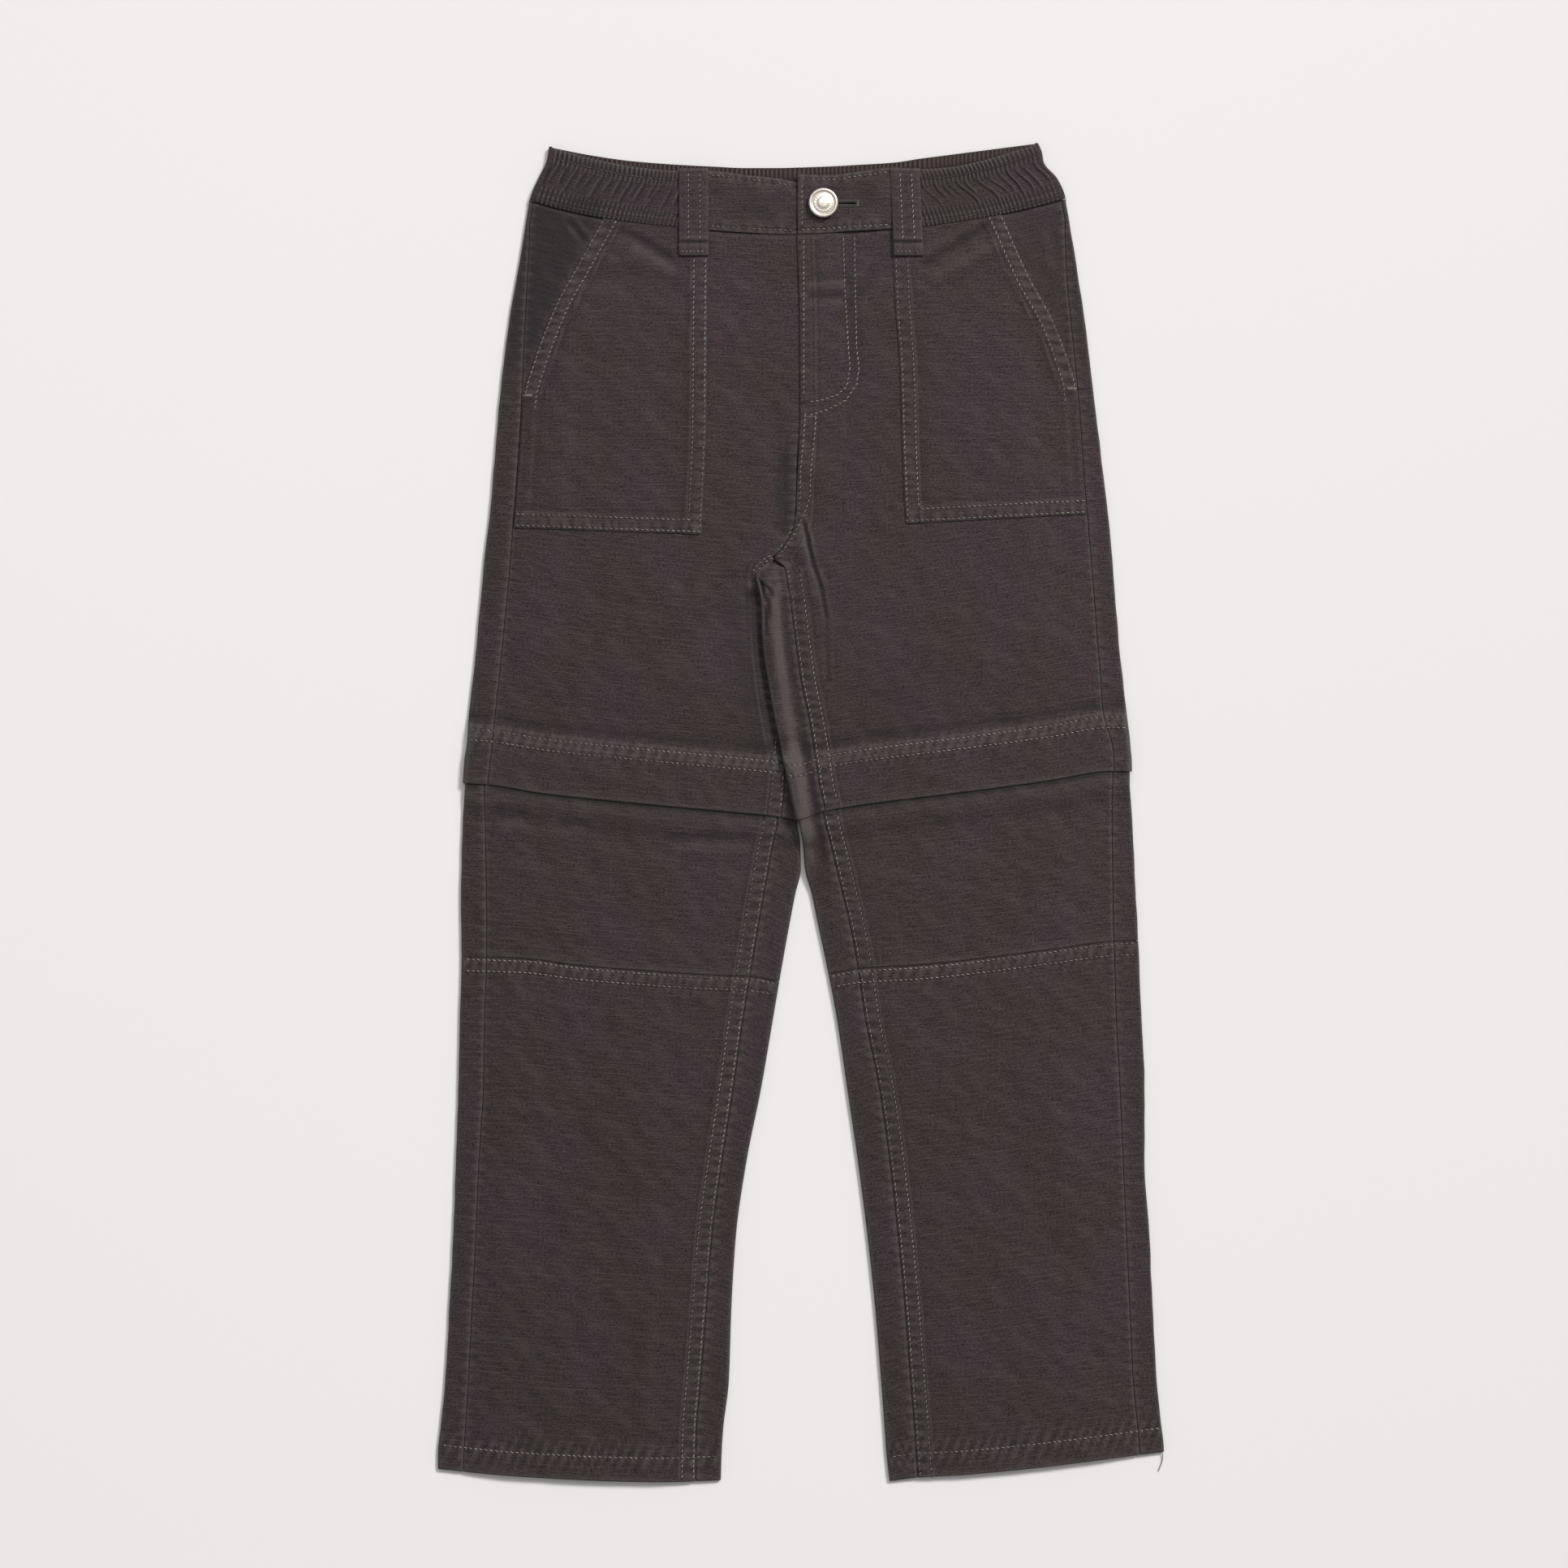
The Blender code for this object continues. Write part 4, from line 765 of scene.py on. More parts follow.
def front(name, leg, shares, part, material, reach=None, raise_by=None):
    """A front between the side seam and the centre seam or inseam."""
    sign = leg.sign
    start = leg.side_end(shares) - sign * SEAM_GAP / 2
    end = leg.meet(leg.inseam, shares)
    end_down = leg.down_at(shares, end)
    end = end + sign * SEAM_GAP / 2
    if reach:
        end = end + reach(end_down)
    width = np.abs(end - start)
    mean = float(width.mean())
    near_inseam = (*NEAR_SEAM, 2.1, 3.2, 4.6, 6.2, 7.3, 8.0, 8.7, 9.6, *np.arange(10.6, 27.0, 1.1))
    columns = spread(mean, (*NEAR_SEAM, 2.6), near_inseam) / mean
    across = start[:, None] + (end - start)[:, None] * columns
    down = leg.down_at(shares[:, None], across)
    to_side = np.abs(across - start[:, None])
    to_inseam = np.abs(across - end[:, None])
    height = leg.top(across, down) + cross_relief(leg, across, down, part)
    below_crotch = ease(down, CROTCH_DOWN, CROTCH_DOWN + 8.0)
    centre = 1 - below_crotch
    felled = below_crotch if sign < 0 else np.ones_like(below_crotch)
    height = height + fell(to_inseam) * felled
    height = height + seam_pucker(to_inseam, down, 1.0 + sign) * (0.5 + 0.5 * below_crotch)
    height = height + 0.5 * seam_pucker(to_side, down, 4.0 + sign, 6.0)
    height = height + edge_dip(to_side) + edge_dip(to_inseam) + end_dip(shares, part)[:, None]
    if raise_by:
        height = height + raise_by(across, down)
    thick = CLOTH * wall_share(leg, shares, part)[:, None]
    wear = 0.75 * bump_at(to_side, 0.5, 0.6) + 0.6 * bump_at(to_inseam, 0.4, 0.6) * (1 - 0.6 * centre)
    wear = wear + 0.5 * bump_at((1 - shares[:, None]) * PART_LENGTH[part], 0.6, 0.9)
    # Lighter on the puckers' crests beside the felled seam: a painted highlight
    wear = wear + 0.12 * pucker(down, 1.0 + sign) * bump_at(to_inseam, 4.7, 4.0) * felled
    uv = np.stack([across, np.broadcast_to(shares[:, None] * PART_LENGTH[part], across.shape)], axis=-1)
    outer, inner = place(across, down, height), place(across, down, height - thick)
    return shell(name, outer, inner, uv + UV_SHIFT[part], np.clip(wear, 0, 1), material)




def outer_wrap(leg, shares, part, seam, centre):
    """Front side of the back panel, from the side seam to the outer fold."""
    s = shares[:, None]
    width = float(np.abs(centre - seam).mean())
    t = spread(width, (*NEAR_SEAM, 2.4), (0.0, 0.8), 1.6) / width
    across = seam + (centre - seam) * t
    down = leg.down_at(s, across)
    to_seam = np.abs(across - seam)
    height = leg.top(across, down) + cross_relief(leg, across, down, part) + edge_dip(to_seam)
    height = height + 0.5 * seam_pucker(to_seam, down, 4.0 + leg.sign, 6.0) * (1 - ease(t, 0.6, 1.0))
    return Layer(across, height, across, height - CLOTH, 0.75 * bump_at(to_seam, 0.5, 0.6))


def outer_fold(leg, edge, centre, base, radius, middle_down):
    """Half turn round the outer edge."""
    turn = np.linspace(0, math.pi, 11)[1:-1]
    swing = 0.12 * waves(middle_down, edge, 23.0, 12 + leg.sign) * np.sin(turn)
    across = centre + leg.sign * radius * np.sin(turn) + swing
    in_across = centre + leg.sign * (radius - CLOTH) * np.sin(turn) + swing
    height = base + radius * np.cos(turn)
    in_height = base + (radius - CLOTH) * np.cos(turn)
    wear = 0.35 * np.maximum(0, np.cos(turn - 0.9)) * np.ones_like(across)
    return Layer(across, height, in_across, in_height, wear)


def underside(leg, s, centre, start):
    """Flat stretch on the surface, from the outer fold to where the inner turn starts."""
    approach = start + leg.sign * np.array([26.0, 20.0, 16.0, 12.0, 8.0, 4.0])
    steps = np.linspace(0, 1, 16)[:-1]
    across = np.concatenate([centre + (approach[:, :1] - centre) * steps, approach], axis=1)
    height = leg.floor(across, leg.down_at(s, across))
    return Layer(across, height, across, height + CLOTH, np.zeros_like(across))


def inner_turn(leg, start, base, middle, angle):
    """Turn round the inner edge, by the angle that it has reached at each row."""
    step = np.linspace(0, 1, 11) * angle
    across = start - leg.sign * middle * np.sin(step)
    height = base + CLOTH / 2 + middle * (1 - np.cos(step))
    aside_across, aside_height = -leg.sign * np.sin(step) * CLOTH / 2, -np.cos(step) * CLOTH / 2
    wear = 0.3 * np.maximum(0, -np.cos(step))
    return Layer(across + aside_across, height + aside_height,
                 across - aside_across, height - aside_height, wear)


def inner_wrap(leg, shares, part, start, turn, turned, angle):
    """From the inner turn up to the inseam; above the crotch only a short flat end."""
    inseam = leg.meet(leg.inseam, shares)[:, None] - leg.sign * SEAM_GAP / 2
    folded = ease(turned, 120.0, 180.0)
    free_across, free_height = -leg.sign * np.cos(angle) * FLAT_END, np.sin(angle) * FLAT_END
    t = np.array([0.08, 0.2, 0.36, 0.52, 0.68, 0.8, 0.88, 0.94, 0.98, 1.0])
    across = start + (inseam - start) * t
    down = leg.down_at(shares[:, None], across)
    to_inseam = np.abs(inseam - across)
    height = leg.top(across, down) + cross_relief(leg, across, down, part)
    height = height + edge_dip(to_inseam) + 0.7 * seam_pucker(to_inseam, down, 1.0 + leg.sign, 7.0) * t
    return Layer(
        (turn.across[:, -1:] + free_across * t) * (1 - folded) + across * folded,
        (turn.height[:, -1:] + free_height * t) * (1 - folded) + height * folded,
        (turn.in_across[:, -1:] + free_across * t) * (1 - folded) + across * folded,
        (turn.in_height[:, -1:] + free_height * t) * (1 - folded) + (height - CLOTH) * folded,
        0.6 * bump_at(to_inseam, 0.4, 0.6) * folded,
    )


def back(name, leg, shares, part, material, slant):
    """A back that lies on the floor and wraps round its folds to the seams on the front."""
    sign = leg.sign
    s = shares[:, None]
    edge = leg.meet(leg.outer, shares)[:, None]
    seam = leg.side_end(shares)[:, None] + sign * SEAM_GAP / 2
    radius = leg.edge_height(edge, leg.down_at(s, edge)) / 2
    centre = edge - sign * radius
    base = leg.floor(edge, leg.down_at(s, edge)) + radius
    wrap = outer_wrap(leg, shares, part, seam, centre)
    middle_down = leg.down_at(s, wrap.across).mean(axis=1)[:, None]
    fold = outer_fold(leg, edge, centre, base, radius, middle_down)

    fold_edge = leg.meet(leg.inner, shares)[:, None]
    fold_down = leg.down_at(s, fold_edge)
    inner_radius = leg.edge_height(fold_edge, fold_down) / 2
    bend = math.pi * (inner_radius - CLOTH / 2)
    turned = np.interp(fold_down, [at for at, _ in leg.turn], [angle for _, angle in leg.turn])
    angle = np.radians(np.maximum(turned, 0.5))
    middle = bend / angle
    flat_start = fold_edge + sign * (SEAM_GAP / 2 + bend + SHORTEST_TAIL)
    folded_start = fold_edge + sign * (middle + CLOTH / 2)
    start = np.where(turned < 1, flat_start, folded_start)
    under = underside(leg, s, centre, start)
    turn = inner_turn(leg, start, leg.floor(fold_edge, fold_down), middle, angle)
    inside = inner_wrap(leg, shares, part, start, turn, turned, angle)

    layers = (wrap, fold, under, turn, inside)
    across, height, in_across, in_height = (
        np.concatenate([layer[i] for layer in layers], axis=1) for i in range(4))
    wear = np.concatenate([np.broadcast_to(layer.wear, layer.across.shape) for layer in layers], axis=1)
    fill = wall_share(leg, shares, part)[:, None]
    in_across = across + (in_across - across) * fill
    in_height = height + (in_height - height) * fill
    above = height - height.min(axis=1, keepdims=True)
    dip = end_dip(shares, part)[:, None] * ease(above, 1.5, 2.6)
    outer = place(across, leg.down_at(s, across), height + dip)
    inner = place(in_across, leg.down_at(s, in_across), in_height)
    steps = np.hypot(np.diff(across, axis=1), np.diff(height, axis=1))
    path = np.concatenate([np.zeros((len(shares), 1)), np.cumsum(steps, axis=1)], axis=1)
    lean = slant * np.maximum(0, LEANING_WEAVE - (path[:, -1:] - path))
    rows = np.broadcast_to(s * PART_LENGTH[part], across.shape)
    uv = np.stack([path, rows + lean], axis=-1) + UV_SHIFT[part] + np.array([300.0 + 40 * sign, 40.0])
    return shell(name, outer, inner, uv, np.clip(wear, 0, 1), material)


def shifted(table, by):
    line = Line(table)
    return lambda across: line(across) + by


def meet_rows(line, inset, share, top_line, bottom_line):
    """Where a pocket's edge crosses each row between two lines."""
    at = line(POCKET_FROM + POCKET_DEPTH * share)
    for _ in range(8):
        at = line((1 - share) * top_line(at) + share * bottom_line(at))
    return at + inset


def pocket(name, leg, outer_line, inner_line, bottom_line, slant_ends, material):
    """A patch pocket on the front, turned in along its edges and double stitched."""
    sign = leg.sign
    outer, inner, bottom = Line(outer_line), Line(inner_line), Line(bottom_line)
    top_line = shifted(WAIST_SEAM, SEAM_GAP / 2)
    length = POCKET_LENGTH
    shares = spread(length, NEAR_EDGE, NEAR_ROWS) / length
    start = meet_rows(outer, -sign * POCKET_SEAM_INSET, shares, top_line, bottom)
    end = meet_rows(inner, 0.0, shares, top_line, bottom)
    columns = spread(POCKET_WIDTH, NEAR_ROWS, NEAR_ROWS) / POCKET_WIDTH
    across = start[:, None] + (end - start)[:, None] * columns
    down = (1 - shares[:, None]) * top_line(across) + shares[:, None] * bottom(across)
    lean = np.gradient(start) / np.gradient(down[:, 0])
    to_outer = np.abs(across - start[:, None]) / np.sqrt(1 + lean[:, None] ** 2)
    to_inner = np.abs(across - end[:, None])
    to_bottom = bottom(across) - down
    on_slant = 1 - ease(down, slant_ends - 2, slant_ends + 4)
    height = leg.top(across, down) + POCKET_LIFT
    height = height + fell(to_inner) + fell(to_bottom) * ease(to_inner, 0, 3) + fell(to_outer) * on_slant
    height = height + 0.8 * seam_pucker(to_inner, down, 2.2 + sign)
    height = height + 0.8 * seam_pucker(to_bottom, across, 6.1)
    height = height + seam_pucker(to_outer, down, 7.7 + sign) * on_slant
    gape = 0.6 + 0.4 * waves(across, down, 30.0, 3)
    height = height + 0.35 * bump_at(to_outer, 3.0, 5.0) * on_slant * gape
    for distance in (to_inner, to_bottom, to_outer):
        height = height + edge_dip(distance)
    wear = 0.8 * bump_at(to_outer, 0.5, 0.7) * on_slant + 0.5 * bump_at(to_inner, 0.4, 0.6)
    wear = wear + 0.45 * bump_at(to_bottom, 0.4, 0.6)
    uv = np.stack([across, down], axis=-1) + np.array([510.0, 3.0])
    out, inside = place(across, down, height), place(across, down, height - CLOTH * SHELL)
    return shell(name, out, inside, uv, np.clip(wear, 0, 1), material)


def plain_band(name, waist, start, end, top_heights, material):
    """A plain front waistband piece, stitched along both edges."""
    top_edge, heights = Line([(row.across, row.front_top) for row in waist]), Line(top_heights)
    seam = shifted(WAIST_SEAM, -SEAM_GAP / 2)
    width = end - start
    across = start + spread(width, NEAR_EDGE, NEAR_EDGE, 1.3)[None, :]
    near = (*NEAR_SEAM, 2.1, 2.7, 3.4, 4.6)
    share = spread(PLAIN_BAND_LENGTH, near, near, 1.6)[:, None] / PLAIN_BAND_LENGTH
    down = (1 - share) * top_edge(across) + share * seam(across)
    across = np.broadcast_to(across, down.shape)
    above, below = down - top_edge(across), seam(across) - down
    height = heights(across) + 0.3 * ease(above, 0.0, 6.0) * ease(below, 0.0, 6.0)
    height = height + 0.22 * waves(across, down, 21.0, 31)
    for distance, seed in ((above, 1.7), (below, 4.3)):
        height = height + 0.9 * seam_pucker(distance, across, seed, 8.0) - 0.22 * bump_at(distance, 2.6, 0.8)
        height = height + 1.1 * edge_dip(distance)
    height = height + edge_dip(across - start) + edge_dip(end - across)
    wear = 0.8 * bump_at(above, 0.5, 0.8) + 0.9 * bump_at(below, 0.5, 0.7)
    wear = wear + 0.6 * bump_at(np.minimum(across - start, end - across), 0.4, 0.6)
    uv = np.stack([across, down], axis=-1) + np.array([20.0, 1700.0])
    out = place(across, down, height)
    inside = place(across, down, height - 0.8 * BAND)
    return shell(name, out, inside, uv, np.clip(wear, 0, 1), material)


def ridge_relief(run, share, seed):
    """Single narrow, uneven ridges of the gathered cloth, from -1 in a valley to 1 on a crest."""
    rng = np.random.default_rng(seed)
    total = np.zeros(np.broadcast(run, share).shape)
    at, last = float(np.min(run)), float(np.max(run))
    while at < last:
        begin, end = rng.uniform(0.08, 0.3), rng.uniform(0.5, 0.85)
        slant = rng.normal(0.06 + 0.22 * math.exp(-(((at - 30.0) / 9.0) ** 2)), 0.08)
        size, width = rng.uniform(0.6, 1.0), rng.uniform(0.4, 0.8)
        aside = run - at + slant * (share - 0.3) * BAND_LENGTH
        ends = ease(share, begin - 0.08, begin + 0.08) * (1 - ease(share, end - 0.1, end + 0.1))
        valley = bump_at(aside, 1.4 * width + 0.5, width + 0.35)
        total = total + size * ends * (bump_at(aside, 0.0, width) - valley)
        at += rng.uniform(3.4, 7.4)
    return np.clip(total, -1.0, 1.0)


def rib_relief(run, share, seed):
    """The elastic's gathers, 0 in a valley and 1 on a ridge: fine ribs at both edges, ridges between."""
    drift = 1.5 * np.sin(run / 13.0 + seed) + 1.0 * np.sin(run / 5.7 + 2.3 * seed)
    fine = 0.5 + 0.5 * np.sin(2 * math.pi * run / RIB_LENGTH + drift)
    between = ease(share, 0.2, 0.4) * (1 - ease(share, 0.66, 0.76))
    ridges = 0.5 + 0.5 * ridge_relief(run, share, int(10 * seed))
    ribs = 0.5 + 0.5 * (fine**2 - (1 - fine) ** 2) * (0.8 + 0.2 * np.sin(run / 7.0 + seed))
    relief = ribs * (1 - between) + ridges * between
    pull = sum(bump_at(share, row, 0.02) for row in BAND_ROW_AT)
    return relief * (1 - 0.6 * pull)


def rib_height(relief, share):
    between = ease(share, 0.16, 0.34) * (1 - ease(share, 0.68, 0.82))
    return (RIB_HEIGHT + (RIDGE_HEIGHT - RIB_HEIGHT) * between) * (relief - 0.5)


def gathered_band(name, material):
    """The elastic waistband round the side folds and the back, gathered from loop to loop."""
    seam = Line(WAIST_SEAM)
    radius = BAND_HEIGHT / 2
    length = BAND_LENGTH
    b = spread(length, (0.0, 0.4, 1.0, 1.8), (0.0, 0.4, 1.0, 1.8), 1.3)[:, None] / length
    parts = []

    def front_side(sign, waist, fold, loop_at, seed):
        top_edge, edge = Line([(row.across, row.front_top) for row in waist]), Line(fold)
        share = np.linspace(0, 1, 230)[None, :]
        begin = edge(b) - sign * radius
        ends = [float(edge(0.0)) - sign * radius, float(edge(1.0)) - sign * radius]
        top_down = top_edge(ends[0] + (loop_at - ends[0]) * share)
        foot_down = seam(ends[1] + (loop_at - ends[1]) * share) - SEAM_GAP / 2
        across = begin + (loop_at - begin) * share
        down = (1 - b) * top_down + b * foot_down
        run = np.abs(across - begin)
        relief = rib_relief(run, b, seed)
        lifted = BAND_HEIGHT + BAND_RISE * ease(np.abs(across - begin), 0.0, BAND_EASE)
        fade = ease(share, 0.0, 0.03)
        rounding = 1.2 * edge_dip(b * length) + edge_dip((1 - b) * length)
        height = lifted + rib_height(relief, b) * fade + rounding
        # Lighter on the gathers' crests: a painted highlight; along the top edge: wear
        wear = 0.3 * ease(relief, 0.6, 1.0) + 0.8 * bump_at(b * length, 0.5, 0.9)
        return [across, down, height, across, lifted - BAND_WALL, wear, 0.0, (2 * relief - 1) * fade]

    def bend(sign, back_top, fold, upward):
        edge = Line(fold)
        turns = np.linspace(0, math.pi, 14)[1:-1][None, :]
        if upward:
            turns = turns[:, ::-1]
        centre = edge(b) - sign * radius
        down = (1 - b) * back_top + b * (seam(edge(b)) - SEAM_GAP / 2)
        reach = radius - BAND_WALL
        out_across, in_across = centre + sign * radius * np.sin(turns), centre + sign * reach * np.sin(turns)
        out_height, in_height = radius + radius * np.cos(turns), radius + reach * np.cos(turns)
        wear = 0.4 * bump_at(b * length, 0.5, 0.9)
        return [out_across, down, out_height, in_across, in_height, wear, 0.0, 0.0]

    def back_side():
        rows = WAIST_LEFT[:-2] + WAIST_RIGHT
        back_edge = Line([(row.across, row.back_top) for row in rows])
        left, right = Line(SIDE_FOLD_LEFT), Line(SIDE_FOLD_RIGHT)
        share = np.linspace(0, 1, 640)[1:-1][None, :]
        begin, end = left(b) + radius, right(b) - radius
        across = begin + (end - begin) * share
        top_from, foot_from = float(left(0)) + radius, float(left(1)) + radius
        x_top = top_from + (float(right(0)) - float(left(0)) - 2 * radius) * share
        x_foot = foot_from + (float(right(1)) - float(left(1)) - 2 * radius) * share
        down = (1 - b) * back_edge(x_top) + b * (seam(x_foot) - SEAM_GAP)
        relief = rib_relief(across + 300.0, b, 0.6)
        fade = ease(share, 0.0, 0.01) * (1 - ease(share, 0.99, 1.0))
        lower = RIB_HEIGHT * (1 - relief) * fade
        upper = BAND_WALL + 0.9 * relief * fade
        # Lighter on the gathers' crests: a painted highlight
        wear = 0.3 * ease(relief, 0.6, 1.0)
        return [across, down, lower, across, upper, wear, 1.0, (2 * relief - 1) * fade]

    left_front = np.broadcast_arrays(*front_side(-1, WAIST_LEFT, SIDE_FOLD_LEFT, LOOP_LEFT_AT - 0.2, 0.8))
    parts.append([grid[:, ::-1] for grid in left_front])
    parts.append(bend(-1, WAIST_LEFT[0].back_top, SIDE_FOLD_LEFT, False))
    parts.append(back_side())
    parts.append(bend(1, WAIST_RIGHT[-1].back_top, SIDE_FOLD_RIGHT, True))
    parts.append(front_side(1, WAIST_RIGHT, SIDE_FOLD_RIGHT, LOOP_RIGHT_AT + 0.2, 2.9))
    parts = [np.broadcast_arrays(*part) for part in parts]
    across, down, height, in_across, in_height, wear, warm, ribbed = (
        np.concatenate([part[i] for part in parts], axis=1) for i in range(8))
    run = np.cumsum(np.hypot(np.diff(across, axis=1, prepend=across[:, :1]),
                             np.diff(height, axis=1, prepend=height[:, :1])), axis=1)
    rows = np.broadcast_to(b * length, across.shape)
    uv = np.stack([run * 1.3, rows], axis=-1) + np.array([10.0, 1900.0])
    outer, inner = place(across, down, height), place(in_across, down, in_height)
    made = shell(name, outer, inner, uv, np.clip(wear, 0, 1), material)
    attribute = made.data.attributes.new("warm", "FLOAT", "POINT")
    attribute.data.foreach_set("value", np.concatenate([warm.reshape(-1)] * 2).astype(np.float32))
    # The gathers' valleys and crests go into the relief attribute for painted shade and painted highlight
    both = np.concatenate([ribbed.reshape(-1)] * 2).astype(np.float32)
    made.data.attributes["relief"].data.foreach_set("value", both)
    return made


def belt_loop(name, middle, lean, material):
    """A strap, folded at its top and tucked at its foot, over the waistband."""
    shape = Line(LOOP_SHAPE)
    length = LOOP_FOOT_DOWN - LOOP_TOP_DOWN
    share = spread(length, NEAR_EDGE, NEAR_EDGE, 0.9)[:, None] / length
    aside = spread(LOOP_WIDTH, (0.0, 0.35, 0.8, 1.5), (0.0, 0.35, 0.8, 1.5), 0.8)[None, :]
    across = middle + lean * share - LOOP_WIDTH / 2 + aside
    down = np.broadcast_to(LOOP_TOP_DOWN + length * share, across.shape)
    height = np.broadcast_to(shape(share), across.shape)
    edge = np.minimum(aside, LOOP_WIDTH - aside)
    ends = np.minimum(share, 1 - share) * length
    height = height + 0.25 * ease(edge, 0, 4.0) + edge_dip(edge) + 1.2 * edge_dip(ends)
    for row in LOOP_ROWS:
        height = height - 0.16 * bump_at(aside, row, 0.7)
    height = height + 0.06 * pucker(down, 2.0) + 0.08 * waves(across, down, 12.0, 21)
    wear = 0.75 * bump_at(edge, 0.4, 0.6) + 0.8 * bump_at(ends, 0.5, 0.7)
    uv = np.stack([across, down], axis=-1) + np.array([700.0, 1200.0])
    outer, inner = place(across, down, height), place(across, down, height - 0.75 * LOOP)
    return shell(name, outer, inner, uv, np.clip(wear, 0, 1), material)


def turned(name, profile, steps, material, flutes=None):
    """A round solid from (radius, height) pairs, the first and last on its axis."""
    ring = np.array(profile[1:-1])
    angle = 2 * math.pi * np.arange(steps) / steps
    radius = np.repeat(ring[:, :1], steps, axis=1)
    height = np.repeat(ring[:, 1:], steps, axis=1)
    if flutes:
        count, low, high, depth = flutes
        inside = ease(radius, low, low + 0.3) * (1 - ease(radius, high - 0.3, high))
        height = height + depth * np.cos(count * angle) * inside * (height > HEAD_FROM + 1.5)
    across = BUTTON_AT.across + radius * np.cos(angle)
    down = BUTTON_AT.down + radius * np.sin(angle)
    body = place(across, down, height).reshape(-1, 3)
    tips = place(np.array([BUTTON_AT.across] * 2), np.array([BUTTON_AT.down] * 2),
                 np.array([profile[0][1], profile[-1][1]]))
    vertices = np.concatenate([body, tips])
    index = np.arange(len(ring) * steps).reshape(len(ring), steps)
    following = np.roll(index, -1, axis=1)
    first = np.stack([index[:-1], index[1:], following[1:]], axis=-1).reshape(-1, 3)
    second = np.stack([index[:-1], following[1:], following[:-1]], axis=-1).reshape(-1, 3)
    low_tip, high_tip = np.full(steps, len(body)), np.full(steps, len(body) + 1)
    low_fan = np.stack([low_tip, index[0], following[0]], axis=-1)
    high_fan = np.stack([high_tip, following[-1], index[-1]], axis=-1)
    faces = np.concatenate([low_fan, first, second, high_fan])
    return new_mesh(name, vertices, faces, material, smooth_angle=40.0)


def shank_button(material):
    rim = BUTTON_RADIUS
    top = HEAD_FROM + HEAD_HEIGHT
    profile = [
        (0.0, SHANK_FROM), (1.9, SHANK_FROM), (1.9, HEAD_FROM + 0.4), (rim - 1.4, HEAD_FROM),
        (rim - 0.4, HEAD_FROM + 0.5), (rim - 0.1, HEAD_FROM + 0.9), (rim, HEAD_FROM + 1.3),
        (rim, top - 1.1), (rim - 0.15, top - 0.7), (rim - 0.5, top - 0.4), (rim - 1.0, top - 0.3),
        (rim - 1.5, top - 0.42), (rim - 1.9, top - 0.8), (rim - 2.2, top - 1.05),
        (rim - 2.6, top - 1.05), (rim - 2.9, top - 0.8), (rim - 3.3, top - 0.72),
        (rim - 3.8, top - 0.72), (rim - 4.4, top - 0.66), (rim - 5.0, top - 0.62),
        (rim - 5.4, top - 0.42), (rim - 5.8, top - 0.3), (rim - 6.5, top - 0.22),
        (rim - 7.3, top - 0.2), (0.0, top - 0.2),
    ]
    return turned("button_dressed", profile, 96, material, flutes=(18, rim - 5.2, rim - 3.0, 0.04))


def buttonhole_cutter(material):
    """A round eye at the shank with a slit that runs towards the side."""
    eye, half = 2.4, 0.45
    opening = math.asin(half / eye)
    angle = np.linspace(opening, 2 * math.pi - opening, 25)
    across = np.concatenate([BUTTON_AT.across + eye * np.cos(angle), [SLIT_END, SLIT_END]])
    slit_sides = [BUTTON_AT.down - half, BUTTON_AT.down + half]
    down = np.concatenate([BUTTON_AT.down + eye * np.sin(angle), slit_sides])
    count = len(across)
    vertices = np.concatenate([place(across, down, 2.0), place(across, down, 9.0)])
    ring = np.arange(count)
    mesh = bpy.data.meshes.new("buttonhole_cutter")
    sides = [[int(i), int(i + count), int((i + 1) % count + count), int((i + 1) % count)] for i in ring]
    ends = [list(range(count)), list(range(2 * count - 1, count - 1, -1))]
    mesh.from_pydata(vertices.tolist(), [], ends + sides)
    mesh.materials.append(material)
    cutter = bpy.data.objects.new("buttonhole_cutter", mesh)
    bpy.context.scene.collection.objects.link(cutter)
    return cutter


def cut_buttonhole(band, material):
    """Cuts the hole for good and takes the cutter away."""
    cutter = buttonhole_cutter(material)
    hole = band.modifiers.new("buttonhole", "BOOLEAN")
    hole.operation = "DIFFERENCE"
    hole.object = cutter
    hole.solver = "EXACT"
    bpy.context.view_layer.update()
    graph = bpy.context.evaluated_depsgraph_get()
    cut = bpy.data.meshes.new_from_object(band.evaluated_get(graph))
    band.modifiers.clear()
    band.data = cut
    bpy.data.objects.remove(cutter, do_unlink=True)


# Stitching: rows drawn in mm where they follow no seam line
FLY_INNER = ((24.4, 54.3), (25.1, 83.0), (27.3, 119.1), (28.2, 130.0), (26.3, 141.2), (20.7, 145.9),
             (11.3, 149.2), (1.9, 150.2))
FLY_OUTER = ((30.8, 54.3), (31.2, 83.0), (32.0, 119.1), (33.4, 130.0), (32.0, 139.8), (25.9, 148.8),
             (15.5, 154.4), (3.3, 158.2))
CENTRE_INNER = ((2.4, 156.0), (1.4, 170.8), (-0.5, 190.1), (-0.7, 205.2), (-1.6, 214.1), (-7.1, 226.8),
                (-15.8, 239.4))
CENTRE_OUTER = ((8.5, 158.0), (7.5, 170.8), (5.5, 190.1), (5.0, 205.2), (1.9, 214.1), (-4.2, 226.8),
                (-13.6, 240.2))
LEFT_INSEAM_OUTER = ((-14.6, 345.0), (-15.6, 356.0), (-16.9, 372.5), (-18.3, 386.0))
LEFT_INSEAM_INNER = ((-10.4, 366.0), (-10.9, 372.5), (-12.3, 386.5))
THIGH_EDGE = ((-15.9, 239.6), (-19.6, 241.6), (-23.4, 245.2), (-27.2, 249.6))
THIGH_ROW = ((-17.2, 238.4), (-21.0, 240.4), (-24.8, 243.8), (-28.6, 248.4))


